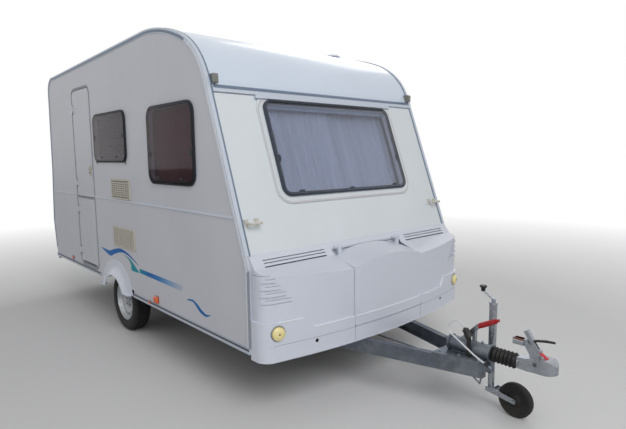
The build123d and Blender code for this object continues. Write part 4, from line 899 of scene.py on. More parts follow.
class BuildStage(CaravanPiece, bpy.types.Operator):
    """Camera, floor, world and studio lamps"""
    bl_idname = "caravan.stage"
    bl_label = "Stage"

    def make(self, context):
        settings, scene = context.scene.caravan_stage, context.scene
        scene.view_settings.view_transform = "Standard"
        data = bpy.data.cameras.new("photo_camera")
        data.lens, data.sensor_width = settings.lens, 36.0
        camera = link(bpy.data.objects.new("photo_camera", data))
        camera.matrix_world = camera_matrix()
        scene.camera = camera
        mesh = bpy.data.meshes.new("stage_floor")
        corners = [(FLOOR_HALF * a, FLOOR_HALF * b, 0) for a, b in ((-1, -1), (1, -1), (1, 1), (-1, 1))]
        mesh.from_pydata(corners, [], [(0, 1, 2, 3)])
        mesh.materials.append(floor_material(settings.floor_colour))
        floor = link(bpy.data.objects.new("stage_floor", mesh))
        scene.world = bpy.data.worlds.new("studio")
        scene.world.use_nodes = True
        nodes = Nodes(scene.world.node_tree)
        path = nodes.add("ShaderNodeLightPath").outputs
        seen = nodes.math("MAXIMUM", path["Is Camera Ray"], path["Is Transmission Ray"])
        seen = nodes.math("MAXIMUM", seen, path["Is Glossy Ray"])
        sky = scene.world.node_tree.nodes["Background"].inputs
        nodes.feed(sky["Color"], WHITE)
        nodes.feed(sky["Strength"], span(nodes, seen, 0.0, 1.0, settings.sky, 1.0))
        for name, place, power, size in (("key", (7.0, -3.0, 6.5), settings.key_power, 5.0),
                                         ("fill", (-2.5, -8.0, 4.0), settings.fill_power, 6.0),
                                         ("rim", (-4.0, 6.5, 6.0), settings.rim_power, 5.0)):
            lamp = bpy.data.lights.new(name, "AREA")
            lamp.energy, lamp.size = power, size
            obj = link(bpy.data.objects.new(name, lamp))
            obj.location = place
            obj.rotation_euler = (LOOK_AT - Vector(place)).to_track_quat("-Z", "Y").to_euler()


class BuildLead(CaravanPiece, bpy.types.Operator):
    """Towing lead with its strain relief and the rings of its plug"""
    bl_idname = "caravan.lead"
    bl_label = "Towing Lead"

    def make(self, context):
        settings = context.scene.caravan_lead
        data = bpy.data.curves.new("towing_lead", "CURVE")
        data.dimensions = "3D"
        data.bevel_depth = LEAD_DIAMETER / 2
        data.bevel_resolution = 3
        data.resolution_u = 10
        data.use_fill_caps = True
        spline = data.splines.new("NURBS")
        spline.points.add(len(LEAD_ROUTE) - 1)
        for point, place in zip(spline.points, LEAD_ROUTE):
            point.co = (*place, 1)
        spline.order_u = 3
        spline.use_endpoint_u = True
        data.materials.append(finish("lead_grey"))
        lead = link(bpy.data.objects.new("towing_lead", data))
        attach(lead, "body")
        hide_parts("lead_cable")
        start, second, before, tip = (Vector(LEAD_ROUTE[i]) for i in (0, 1, -2, -1))
        reach, core = settings.relief, LEAD_DIAMETER / 2
        section = [(0, -0.002), (0.0102, -0.002), (0.0102, 0.004)]
        for i in range(5):
            d = 0.006 + (reach - 0.01) * i / 5
            wide = core + 0.0042 - 0.003 * i / 5
            section += [(wide - 0.0011, d), (wide, d + 0.0012), (wide, d + 0.0034)]
        section += [(core + 0.0009, reach - 0.003), (core + 0.0004, reach), (0, reach)]
        relief = solid("lead_strain_relief", "plug_black", (add_turned, section, start, second - start, 20),
                       slot="plug_black")
        way = (tip - before).normalized()
        rings = [circle(tip + way * (0.01 + 0.007 * i), way, 0.0208, 24) for i in range(settings.rib_count)]
        ribs = beads("lead_plug_rings", rings, 0.0011, "plug_black", sides=6, slot="plug_black")
        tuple(LEAD_ROUTE[0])


# Nodes whose finish differs a little from that of their slot
OWN_FINISH = {"side_window_panes": "side_tint", "front_window_frame": "front_rubber"}


class ApplyFinishes(CaravanPiece, bpy.types.Operator):
    """Finish of every CAD node, by its material slot in the record"""
    bl_idname = "caravan.finishes"
    bl_label = "Finishes"

    def make(self, context):
        for part in frame["record"]["subparts"]:
            materials = NODES[part["node"]].data.materials
            materials.clear()
            materials.append(finish(OWN_FINISH.get(part["node"], part["material_slot"])))


# Wheels
@once
def block_tree(name):
    """A tapered tread block at every point of the base mesh."""
    tree = Tree(name, {"Width": 0.018, "Length": 0.012, "Height": 0.006, "Skew": 0.0})
    block = tree.moved(tree.cone(4, 0.78, 0.68, 1.0), Rotation=(0, 0, pi / 4))
    block = tree.moved(block, Scale=tree.vector(X=tree.size("Length"), Y=tree.size("Width"), Z=tree.size("Height")))
    block = tree.moved(block, Rotation=tree.vector(Z=tree.size("Skew")))
    turn = tree.facing("along", "X", Rotation=tree.facing("aim", "Z"))
    return tree.end(tree.at_points(block, turn))


# Half of a tyre's (radius, distance) wall with its ridges, and the hollow inside
TYRE_WALL = [
    (0.1752, 0.055), (0.179, 0.06), (0.1835, 0.0632), (0.188, 0.064), (0.1915, 0.0702), (0.199, 0.0742),
    (0.2052, 0.0757), (0.2062, 0.0766), (0.2078, 0.0766), (0.2088, 0.0764), (0.22, 0.0778), (0.233, 0.078),
    (0.245, 0.0772), (0.253, 0.0757), (0.2538, 0.0762), (0.2552, 0.076), (0.256, 0.0748), (0.264, 0.0716),
    (0.27, 0.0672)]
TYRE_HOLLOW = [(0.1752, -0.04), (0.233, -0.069), (0.266, -0.048), (0.267, 0.0), (0.266, 0.048),
               (0.233, 0.069), (0.1752, 0.04)]


def tyre_section(groove):
    """Closed (radius, distance) section of a tyre with its main grooves."""
    crown = WHEEL_RADIUS - 0.0012
    floor = crown - groove
    half = TYRE_WALL + [(floor - 0.001, 0.059), (floor, 0.045), (floor, 0.0165), (floor, 0.0102),
                        (crown - 0.0006, 0.0092), (crown, 0.007)]
    return half + [(r, -d) for r, d in reversed(half)] + TYRE_HOLLOW


class BuildTyres(CaravanPiece, bpy.types.Operator):
    """Road tyres with their tread, and the jockey wheel's tyre ridges"""
    bl_idname = "caravan.tyres"
    bl_label = "Tyres"

    def make(self, context):
        settings = context.scene.caravan_tyres
        rows = ((-0.048, 0.02, 0.0, 0.003), (-0.022, 0.019, settings.skew, 0.0),
                (0.022, 0.019, settings.skew, 0.0), (0.048, 0.02, 0.0, 0.003))
        for side, word in SIDES:
            centre, body = Vector((AXLE_X, side * HUB_Y, WHEEL_RADIUS)), f"wheel_{word}"
            tyre = solid(f"road_tyre_{word}", "tyre_black",
                         (add_turned, tyre_section(settings.groove), centre, (0, side, 0), 96, True),
                         slot="tyre_black", body=body, angle=28)
            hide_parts(f"tyre_{word}")
            for row, (aside, width, skew, lean) in enumerate(rows):
                spots, ways = [], []
                foot = WHEEL_RADIUS - 0.0014 - lean - settings.groove
                for i in range(settings.block_count):
                    t = 2 * pi * (i + 0.5 * (row % 2)) / settings.block_count
                    out = Vector((cos(t), 0, sin(t)))
                    aim = (out + Vector((0, copysign(lean * 40, aside), 0))).normalized()
                    spots.append((centre + out * foot + Vector((0, aside, 0)), aim))
                    ways.append((-sin(t), 0, cos(t)))
                base = spot_mesh(f"tread_{word}_{row}", spots)
                point_vectors(base, "along", ways)
                sizes = {"Width": width, "Length": 0.0195, "Height": settings.groove + 0.0006, "Skew": skew,
                         "Material": finish("tyre_black")}
                grown(f"tread_{word}_{row + 1}", base, block_tree("tread blocks"), sizes, slot="tyre_black",
                      body=body, angle=20)
        ridges = [circle(JOCKEY_HUB + Vector((0, d, 0)), LEFTWARD, 0.1065, 48) for d in (-0.007, 0, 0.007)]
        beads("jockey_tyre_ridges", ridges, 0.0013, "tyre_black", sides=6, slot="tyre_black", body="jockey_roller")


class BuildWheelFittings(CaravanPiece, bpy.types.Operator):
    """Wheel bolts, hub caps and valves"""
    bl_idname = "caravan.wheel_fittings"
    bl_label = "Wheel Fittings"

    def make(self, context):
        cap = [(0, -0.002), (0.0245, -0.002), (0.025, 0.001), (0.0238, 0.0026), (0.0205, 0.003), (0.0195, 0.0022),
               (0.012, 0.0034), (0, 0.004)]
        valve = [(0, 0), (0.0075, 0), (0.0075, 0.006), (0.0048, 0.012), (0.004, 0.024), (0.0046, 0.0245),
                 (0.0046, 0.033), (0.003, 0.0345), (0, 0.0345)]
        hub = Vector((AXLE_X, 0, WHEEL_RADIUS))
        for side, word in SIDES:
            body, out, far = f"wheel_{word}", (0, side, 0), Vector((0, side * 1.3, 0))
            angles = [radians(90 + 72 * i) for i in range(5)]
            starts = [hub + far + Vector((0.056 * cos(t), 0, 0.056 * sin(t))) for t in angles]
            spots = seats(f"rim_{word}", starts, (0, -side, 0))
            fixings(f"wheel_bolts_{word}", "bolt", spots, 0.0085, 0.013, "bolt_zinc", slot="zinc_steel", body=body)
            middle, _ = seat(f"rim_{word}", hub + far, (0, -side, 0))
            solid(f"hub_cap_{word}", "rim_silver", (add_turned, cap, middle, out, 32), slot="rim_silver", body=body,
                  angle=24)
            t = radians(54)
            away = Vector((cos(t), 0, sin(t)))
            foot = hub + away * 0.15 + Vector((0, side * (HUB_Y + 0.006), 0))
            way = (away * -0.25 + Vector(out)).normalized()
            solid(f"valve_{word}", "seal_black", (add_turned, valve, foot, way, 14), slot="tyre_black", body=body,
                  angle=30)


# Windows and curtains
# The front and rear panes as u0, u1, v0, v1, corner radius
FRONT_PANE = (-0.655, 0.655, 1.35 / SLOPE_COS, 2.003 / SLOPE_COS, 0.07)
REAR_PANE = (-0.56, 0.56, 1.56, 2.08, 0.06)


def loops_on(place, u0, u1, v0, v1, corner, rings):
    """Round-cornered loops round a pane, each grown from it and at its own depth."""
    return [[place(u, v, depth) for u, v in rounded(u0 - grow, u1 + grow, v0 - grow, v1 + grow, corner + grow)]
            for grow, depth in rings]


def add_catch(bm, place, u, v, across, inner, outer):
    """A window catch: a cap outside the pane, and a foot and lever inside it."""
    def at(a, b, d):
        return place(u + a, v + b, d) if across else place(u + b, v + a, d)
    for outline, d0, d1 in (
            (rounded(-0.017, 0.017, -0.007, 0.007, 0.0065), outer, outer + 0.0026),
            (rounded(-0.022, 0.022, -0.009, 0.009, 0.006), inner, inner - 0.005),
            (rounded(-0.03, 0.012, -0.005, 0.005, 0.0048), inner - 0.005, inner - 0.0125)):
        add_plate(bm, at, outline, d0, d1, 0.0009)


def add_stay(bm, place, u, drop, wide, narrow):
    """A window stay: a sleeve and a thinner rod below it, each between two (height, depth) places of the drop."""
    for (v0, d0), (v1, d1), radius in ((*drop[:2], wide), (*drop[2:], narrow)):
        add_tube(bm, [place(u, v0, d0), place(u, v1, d1)], [radius] * 2, 8)


class BuildWindowFittings(CaravanPiece, bpy.types.Operator):
    """Rubber beads, catches, hinge rails and stays of the windows"""
    bl_idname = "caravan.window_fittings"
    bl_label = "Window Fittings"

    def fit(self, name, place, loops, radius, catches, depths, stays=(), looks=("seal_black", "plug_black")):
        """A window's beads, its catches as (u, v, across) and its stays."""
        beads(f"gasket_{name}", loops, radius, looks[0], slot="window_rubber")
        solid(f"catches_{name}", looks[1], *((add_catch, place, *catch, *depths) for catch in catches),
              *((add_stay, place, *stay) for stay in stays), slot="window_rubber")

    def rail(self, name, place, outline, depth0, depth1):
        """The rail that a window is hinged on."""
        solid(f"hinge_rail_{name}", "window_rubber", (add_plate, place, outline, depth0, depth1, 0.002),
              slot="window_rubber")

    def make(self, context):
        radius = context.scene.caravan_trim.gasket
        grown_by = (0.0212, 0.0122), (0.0146, 0.015), (-0.0012, 0.01)
        for name, side, x0, x1, z0, z1, corner, _ in SIDE_WINDOWS:
            place, middle = on_side(side), (x0 + x1) / 2
            catches = ((middle - 0.18, z0 + 0.026, True), (middle + 0.18, z0 + 0.026, True),
                       (x0 + 0.026, z0 + 0.21, False), (x1 - 0.026, z0 + 0.21, False))
            drop = (z1 - 0.12, 0.008), (z1 - 0.3, 0.006), (z1 - 0.29, 0.006), (z1 - 0.44, 0.004)
            self.fit(name, place, loops_on(place, x0, x1, z0, z1, corner, grown_by), radius, catches, (0.0131, 0.0179),
                     [(u, drop, 0.0042, 0.0028) for u in (x0 + 0.01, x1 - 0.01)])
            self.rail(name, place, rounded(x0 + 0.05, x1 - 0.05, z1 + 0.002, z1 + 0.018, 0.004), 0.012, 0.0205)
        loops = loops_on(along_front, *FRONT_PANE, ((-0.0006, 0.0212), (-0.01, 0.0212), (-0.0085, 0.0262)))
        catches = ((-0.622, 1.605, False), (-0.49, 1.378, True), (0.004, 1.374, True), (0.503, 1.378, True),
                   (0.622, 1.605, False))
        drop = (1.9, 0.016), (1.72, 0.012), (1.73, 0.012), (1.56, 0.01)
        self.fit("front", on_front, loops, radius * 1.2, catches, (0.0231, 0.0279),
                 [(u, drop, 0.0048, 0.0032) for u in (-0.628, 0.628)], ("front_rubber", "front_rubber"))
        # A grey band round the front window's surround: painted shade of its sloping edge
        edge = rounded(-0.69, 0.69, 1.35 / SLOPE_COS - 0.035, 2.003 / SLOPE_COS + 0.012, 0.106, 8)
        solid("surround_edge", "surround_grey", (add_frame, along_front, edge, 0.0145, 0.0095, 0.0109), angle=40)
        self.rail("front", on_front, rounded(-0.6, 0.6, 1.985, 2.001, 0.004), 0.027, 0.0345)
        loops = loops_on(on_rear, *REAR_PANE, ((-0.001, 0.0085), (-0.008, 0.0125)))
        catches = ((-0.3, 1.586, True), (0.3, 1.586, True), (-0.53, 1.76, False), (0.53, 1.76, False))
        self.fit("rear", on_rear, loops, radius, catches, (0.0065, 0.014))


def cloth_sheet(name, grid, across, width, height, material, angle):
    """A sheet of cloth from columns of points, with its own UV map in metres."""
    step, mesh = len(grid[0]), bpy.data.meshes.new(name)
    mesh.from_pydata([p for column in grid for p in column], [],
                     [(i * step + j, (i + 1) * step + j, (i + 1) * step + j + 1, i * step + j + 1)
                      for i in range(len(grid) - 1) for j in range(step - 1)])
    cloth_map = mesh.uv_layers.new(name="cloth")
    for loop in mesh.loops:
        i, j = divmod(loop.vertex_index, step)
        cloth_map.data[loop.index].uv = (across[i], height * j / (step - 1))
    sheet = settle(link(bpy.data.objects.new(name, mesh)), material, angle=angle)


def hang(name, place, u0, u1, v0, v1, folds, middle, depth, material, seed):
    """A gathered curtain between two rails."""
    rng = random.Random(seed)
    lean = [rng.uniform(-0.5, 0.5) for _ in range(folds + 2)]
    swell = [rng.uniform(0.65, 1.0) for _ in range(folds + 2)]
    columns, rows = folds * 8, 14
    grid = []
    for i in range(columns + 1):
        t = i / columns
        at = t * folds
        k = int(at)
        mixed = at - k
        deep = depth * (swell[k] * (1 - mixed) + swell[k + 1] * mixed)
        drift = (lean[k] * (1 - mixed) + lean[k + 1] * mixed) * 0.35
        column = []
        for j in range(rows + 1):
            v = j / rows
            wave = 2 * pi * (at + drift * sin(pi * v))
            open_up = 0.72 + 0.28 * sin(pi * v)
            u = u0 + (u1 - u0) * t + 0.25 * depth * sin(2 * wave) * open_up
            column.append(place(u, v0 + (v1 - v0) * v, middle + deep * open_up * sin(wave)))
        grid.append(column)
    widths = [sum((b[j] - a[j]).length for a, b in zip(grid, grid[1:])) for j in range(rows + 1)]
    height = sum((a - b).length for a, b in zip(grid[0], grid[0][1:]))
    across = [0.0]
    for a, b in zip(grid, grid[1:]):
        across.append(across[-1] + (b[rows // 2] - a[rows // 2]).length)
    cloth_sheet(name, grid, across, sum(widths) / len(widths), height, material, 80)


def curtain_rail(name, place, u0, u1, v, middle):
    """An extruded track with rounded corners and two end stops."""
    def along(outline, ends):
        return add_rings, [[place(u, v + b, middle + a) for a, b in outline] for u in ends]

    stop = rounded(-0.008, 0.008, -0.0065, 0.0065, 0.003, 3)
    solid(name, "liner_cream", along(rounded(-0.006, 0.006, -0.0045, 0.0045, 0.002, 3), (u0, u1)),
          *(along(stop, (u - 0.004, u + 0.004)) for u in (u0, u1)))


class BuildCurtains(CaravanPiece, bpy.types.Operator):
    """Gathered curtains, their rails and the front blind's cassette"""
    bl_idname = "caravan.curtains"
    bl_label = "Curtains"

    def make(self, context):
        settings = context.scene.caravan_curtains
        side_cloth = cloth("curtain_maroon", (*settings.side_colour, 1))
        front_cloth = cloth("curtain_pale", (*settings.front_colour, 1))
        depth, inside = settings.fold_depth, -WALL - 0.026
        for name, side, x0, x1, z0, z1, _, folds in SIDE_WINDOWS:
            if folds:
                place, title = on_side(side), f"curtain_{name}"
                curtain_rail(title + "_rail", place, x0 - 0.05, x1 + 0.05, z1 + 0.03, inside)
                hang(title, place, x0 - 0.045, x1 + 0.045, z0 - 0.11, z1 + 0.022, folds, inside, depth,
                     side_cloth, len(title))
        for word, u0, u1, middle, seed in (("right", -0.7, 0.03, inside, 3), ("left", -0.03, 0.7, inside - 0.03, 5)):
            title = f"curtain_nose_{word}"
            curtain_rail(title + "_rail", on_front, u0, u1, 2.022, middle)
            hang(title, on_front, u0, u1, 1.322, 2.014, 12, middle, depth, front_cloth, seed)
        curtain_rail("curtain_rear_rail", on_rear, -0.61, 0.61, 2.112, -0.056)
        hang("curtain_rear", on_rear, -0.6, 0.6, 1.53, 2.104, 20, -0.056, depth, side_cloth, 9)
        profile = [(-0.001, -0.052), (-0.0065, -0.058), (-0.0065, 0.0), (0.0, 0.006), (0.006, 0.0), (0.008, -0.05),
                   (0.005, -0.056)]
        solid("front_blind", "blind_blue", (add_rings, [
            [on_front(u, 2.006 + b * 0.94, -0.018 + a) for a, b in profile] for u in (-0.648, 0.648)]))


class BuildKitchenBlind(CaravanPiece, bpy.types.Operator):
    """Pleated dark blind behind the kitchen window, with its cassette"""
    bl_idname = "caravan.kitchen_blind"
    bl_label = "Kitchen Blind"

    def make(self, context):
        _, side, x0, x1, z0, z1, _, _ = SIDE_WINDOWS[1]
        place, inside = on_side(side), -WALL - 0.022
        profile = [(-0.018, 0.0), (-0.018, 0.03), (-0.012, 0.036), (0.012, 0.036), (0.018, 0.03), (0.018, 0.0)]
        solid("kitchen_blind_cassette", "blind_dark", (add_rings, [
            [place(x, z1 + 0.006 + b, inside + a) for a, b in profile] for x in (x0 - 0.03, x1 + 0.03)]))
        pleats, fold, top, width = 22, 0.007, z1 + 0.008, x1 - x0 + 0.044
        across = evenly(0, width, 12)
        heights = evenly(top, z0 - 0.02, 2 * pleats)
        grid = [[place(x0 - 0.022 + a, v, inside + (fold if i % 2 else -fold)) for i, v in enumerate(heights)]
                for a in across]
        run = sum((b - a).length for a, b in zip(grid[0], grid[0][1:]))
        cloth_sheet("kitchen_blind", grid, across, width, run, cloth("blind_cloth", rgb(20, 24, 34)), 20)


# Stripes
def smooth_line(points, steps=8):
    """A smooth line through points in a plane."""
    line = []
    for i in range(len(points) - 1):
        p0, p1 = points[max(i - 1, 0)], points[i]
        p2, p3 = points[i + 1], points[min(i + 2, len(points) - 1)]
        for k in range(steps):
            t = k / steps
            line.append(tuple(0.5 * (2 * b + (c - a) * t + (2 * a - 5 * b + 4 * c - d) * t ** 2
                                     + (3 * b - a - 3 * c + d) * t ** 3) for a, b, c, d in zip(p0, p1, p2, p3)))
    return line + [tuple(points[-1])]


def add_stripe(bm, place, top, bottom):
    """A thin film between two lines of equal length."""
    under, over = -0.0002, 0.0004
    add_rings(bm, [[place(*a, under), place(*b, under), place(*b, over), place(*a, over)]
                   for a, b in zip(smooth_line(top), smooth_line(bottom))])


# Top and bottom lines of the stripes as x, z
WAVE = (((-1.175, 0.763), (-1.06, 0.757), (-0.944, 0.756), (-0.82, 0.785), (-0.7, 0.806), (-0.6, 0.803),
         (-0.505, 0.786), (-0.397, 0.755), (-0.29, 0.715)),
        ((-1.175, 0.76), (-1.06, 0.728), (-0.935, 0.706), (-0.825, 0.738), (-0.716, 0.766), (-0.625, 0.777),
         (-0.54, 0.772), (-0.428, 0.748), (-0.296, 0.712)))
WEDGE = (((-0.636, 0.768), (-0.49, 0.748), (-0.41, 0.718), (-0.345, 0.685), (-0.284, 0.656)),
         ((-0.63, 0.765), (-0.495, 0.729), (-0.447, 0.69), (-0.437, 0.647), (-0.29, 0.647)))
SWASH = (((0.56, 0.598), (0.645, 0.611), (0.708, 0.594), (0.766, 0.565), (0.829, 0.545), (0.89, 0.554)),
         ((0.566, 0.59), (0.645, 0.595), (0.694, 0.57), (0.752, 0.539), (0.824, 0.527), (0.884, 0.547)))


class BuildStripes(CaravanPiece, bpy.types.Operator):
    """Blue and teal stripes along both side walls"""
    bl_idname = "caravan.stripes"
    bl_label = "Stripes"

    def make(self, context):
        settings = context.scene.caravan_trim
        blue, teal = (*settings.stripe_blue, 1), (*settings.stripe_teal, 1)
        wave = film("film_wave", [rgb(60, 126, 184), blue, blue, rgb(26, 108, 174)], -1.15, -0.3)
        wedge = film("film_wedge", [rgb(150, 186, 190), teal, teal], -0.63, -0.3)
        band = film("film_band", [teal, blue, rgb(56, 128, 190), rgb(136, 168, 204), rgb(190, 194, 207)], -0.27, 0.5)
        for side, word in SIDES:
            place = on_side(side)
            for name, lines, material in (("wave", WAVE, wave), ("wedge", WEDGE, wedge), ("swash", SWASH, wave)):
                solid(f"stripe_{name}_{word}", material, (add_stripe, place, *lines))
            runs = [(-0.268, 0.5)] if side == RIGHT else [(-0.268, -0.196), (-0.044, 0.5)]
            solid(f"stripe_band_{word}", band, *(
                (add_stripe, place, [(x0, 0.688), ((x0 + x1) / 2, 0.687), (x1 + 0.012, 0.685)],
                 [(x0 - 0.004, 0.652), ((x0 + x1) / 2, 0.646), (x1 - 0.02, 0.64)]) for x0, x1 in runs))


# Small parts of the body
def arc_through(a, b, c, steps=10):
    """Points of the circle through three points in a plane, from the first to the last."""
    (ax, az), (bx, bz), (cx, cz) = a, b, c
    double = 2 * (ax * (bz - cz) + bx * (cz - az) + cx * (az - bz))
    sa, sb, sc = ax * ax + az * az, bx * bx + bz * bz, cx * cx + cz * cz
    ox = (sa * (bz - cz) + sb * (cz - az) + sc * (az - bz)) / double
    oz = (sa * (cx - bx) + sb * (ax - cx) + sc * (bx - ax)) / double
    radius = hypot(ax - ox, az - oz)
    start = atan2(az - oz, ax - ox)
    sweep = (atan2(cz - oz, cx - ox) - start + pi) % (2 * pi) - pi
    return [(ox + radius * cos(start + sweep * i / steps),
             oz + radius * sin(start + sweep * i / steps)) for i in range(steps + 1)]


# The body's side outline from the foot of the front to the foot of the rear
FRONT_LINE = [(1.355, 0.449), (1.355, 0.7), (1.355, 0.93), (1.3495, 0.96), (1.15, 1.509), (0.95, 2.06)]
ROOF_LINE = (arc_through((0.95, 2.06), (0.82, 2.306), (0.57, 2.472))
             + arc_through((0.57, 2.472), (0.31, 2.549), (0.02, 2.579))[1:]
             + [(-0.95, 2.5585), (-1.926, 2.538), (-2.3, 2.5307)]
             + arc_through((-2.44, 2.528), (-2.582, 2.478), (-2.63, 2.35))
             + [(-2.655, 1.9), (-2.677, 1.5), (-2.716, 1.22), (-2.754, 0.94), (-2.756, 0.87), (-2.708, 0.57)])
# Where the light insert of the edge trim ends and its roof part, darkened as painted shade, starts
INSERT_END = 8
# Bottom rails as x0, x1, z
RAILS = ((-0.411, 1.353, 0.412), (-2.684, -1.209, 0.462))


def screws(name, node, starts, towards, radius, height, look="screw_steel", **more):
    """Screws where parallel lines meet a CAD node."""
    fixings(name, "screw", seats(node, starts, towards), radius, height, look, **more)


def bolts(name, spots, radius, height, slot="zinc_steel", body="body"):
    """Zinc bolts at spots of (place, direction)."""
    fixings(name, "bolt", spots, radius, height, "bolt_zinc", slot=slot, body=body)


class BuildTrimLines(CaravanPiece, bpy.types.Operator):
    """Inserts, seals and corner beads of the edge trims with the insert's roof part darkened as painted shade, and the
    painted shade strips, seals, painted shadow line under the belt moulding and screws of the rails
    """
    bl_idname = "caravan.trim_lines"
    bl_label = "Trim Lines"

    def make(self, context):
        width = context.scene.caravan_trim.insert
        ribbons = (("trim_insert", "trim_insert", FRONT_LINE + ROOF_LINE[1:INSERT_END], 0.0185, width, 0.0042),
                   # The roof part of the same insert in the dark trim colour: painted shade
                   ("roof_insert", "trim_dark", ROOF_LINE[INSERT_END:], 0.0185, width, 0.0042),
                   ("corner_strip", "seam_grey", FRONT_LINE[:3], 0.0065, 0.0115, 0.0048))
        for side, word in SIDES:
            place = on_side(side)
            for name, look, line, inset, wide, depth in ribbons:
                solid(f"{name}_{word}", look, (add_ribbon, place, line, inset, wide, 0.0028, depth), angle=40)
            raised = [Vector((x, side * 1.019, z)) for x, z in offset(FRONT_LINE[1:] + ROOF_LINE[1:], 0.0015, False)]
            seams(f"trim_line_{word}", [raised], 0.008, "trim_dark", 8)
            seals = [[place(*p, 0.0006) for p in offset(line, 0.0346, False)] for line in (FRONT_LINE, ROOF_LINE)]
            seams(f"trim_seal_{word}", seals, 0.0014)
            # A grey bead down each front corner between the trim and the locker
            corner = [Vector((1.3575, side * 1.049, z)) for z in (0.45, 0.7, 0.935)]
            seams(f"corner_seal_{word}", [corner], 0.0035, "frame_grey", 8)
            # A dark strip along the upper half of each rail: painted shade
            solid(f"rail_shade_strip_{word}", "seam_dark", *(
                (add_plate, place, rounded(x0, x1, z + 0.019, z + 0.0335, 0.001, 2), 0.0078, 0.009, 0.0006)
                for x0, x1, z in RAILS))
            # Grey lines where the rails meet the wall, and one under the belt moulding that is a painted shadow
            belt_end = -1.25 if side == RIGHT else -2.66
            seams(f"rail_seal_{word}", [[place(x0, z, 0.0004), place(x1, z, 0.0004)] for x0, x1, z in (
                (-0.411, 1.319, 0.4482), (-2.684, -1.209, 0.4978), (belt_end, 1.205, 1.2388))], 0.0014)
            starts = [(x, side * 1.4, z) for xs, z in ((evenly(-0.36, 1.32, 6), 0.4225),
                                                       (evenly(-2.62, -1.27, 5), 0.4725)) for x in xs]
            screws(f"rail_screws_{word}", "side_rails", starts, (0, -side, 0), 0.0042, 0.0022)
        seams("cross_rail_seal", [[on_front(y, z, 0.0006) for y in (-1.012, -0.5, 0.0, 0.5, 1.012)]
                                  for z in (2.0355, 2.0845)], 0.0016)
        strip = rounded(-1.01, 1.01, 2.0645 / SLOPE_COS, 2.0825 / SLOPE_COS, 0.001, 2)
        solid("cross_rail_insert", "trim_dark", (add_plate, along_front, strip, 0.0088, 0.0142, 0.0006))


class BuildDoorFittings(CaravanPiece, bpy.types.Operator):
    """Frame, seals, screws, lock barrel and strips of the two door halves"""
    bl_idname = "caravan.door_fittings"
    bl_label = "Door Fittings"

    def make(self, context):
        place = on_side(RIGHT)

        def opening(grow):
            return rounded(DOOR_X0 - grow, DOOR_X1 + grow, DOOR_Z0 - grow, DOOR_Z1 + grow, 0.06 + grow, 8)

        solid("door_frame", "frame_grey", (add_frame, place, opening(0.013), 0.015, -0.0004, 0.0026), angle=40)
        beads("door_seal", [[place(u, v, d) for u, v in opening(0.0054)] for d in (-0.006, -0.0115)], 0.0026,
              "seal_black", slot="window_rubber")
        split = [[place(x, DOOR_SPLIT + 0.0018, d) for x in (DOOR_X0 + 0.002, DOOR_X1 - 0.002)]
                 for d in (-0.004, -0.011)]
        seams("door_split_seal", split, 0.0024, "seal_black", 8, slot="window_rubber", body="door_top")
        hinges = (0.658, 1.093), (1.373, 2.123)
        for word, body, heights in (("upper", "door_top", hinges[1]), ("lower", "door_bottom", hinges[0])):
            starts = [(x, -1.3, z + dz) for z in heights for dz in (-0.017, 0.017) for x in (-1.762, -1.744)]
            screws(f"hinge_screws_{word}", f"door_{word}", starts, LEFTWARD, 0.0038, 0.002, slot="hinge_steel",
                   body=body)
        starts = [(-1.815, -1.3, z + dz) for z in sum(hinges, ()) for dz in (-0.041, 0.041)]
        screws("hinge_pin_screws", "door_hinge_pins", starts, LEFTWARD, 0.0038, 0.002, slot="hinge_steel")
        screws("handle_screws", "door_handle", [(-1.331, -1.3, z) for z in (1.46, 1.5435)], LEFTWARD, 0.0036, 0.002,
               "screw_beige", slot="handle_beige", body="door_top")
        lock, _ = seat("door_handle", (-1.331, -1.3, 1.483), LEFTWARD)
        barrel = [(0, -0.001), (0.0088, -0.001), (0.0088, 0.0014), (0.0078, 0.0022), (0.0046, 0.0022),
                  (0.0042, 0.0012), (0, 0.0012)]
        solid("lock_barrel", "seal_black", (add_turned, barrel, lock, RIGHTWARD, 24),
              (add_plate, lambda u, v, d: lock + Vector((u, -d, v)), around(0, 0, 0.0016, 0.0064, 0.0006, 3), 0.001,
               0.002, 0.0003), body="door_top", angle=30)
        grip = rounded(-1.346, -1.316, 1.5105, 1.5165, 0.0028)
        solid("handle_grip_line", "handle_beige", (add_plate, place, grip, 0.0178, 0.0194, 0.0008),
              slot="handle_beige", body="door_top")
        for name, look, inset, z0, z1, corner, depth in (
                ("door_foot_strip", "seam_dark", 0.05, DOOR_Z0 + 0.004, DOOR_Z0 + 0.022, 0.003, 0.0024),
                ("door_belt_strip", "seam_grey", 0.012, DOOR_SPLIT - 0.0185, DOOR_SPLIT - 0.006, 0.002, 0.0026)):
            strip = rounded(DOOR_X0 + inset, DOOR_X1 - inset, z0, z1, corner, 3)
            solid(name, look, (add_plate, place, strip, -0.0002, depth, 0.0008), body="door_bottom")


# Wall vents and the flaps on the other side as name, x0, x1, z0, z1
VENTS = (("upper", -0.787, -0.369, 1.261, 1.439), ("lower", -0.797, -0.324, 0.823, 1.008))
FLAPS = (("rear", -1.51, -1.35, 0.64, 0.8), ("front", -0.19, -0.05, 0.64, 0.78))


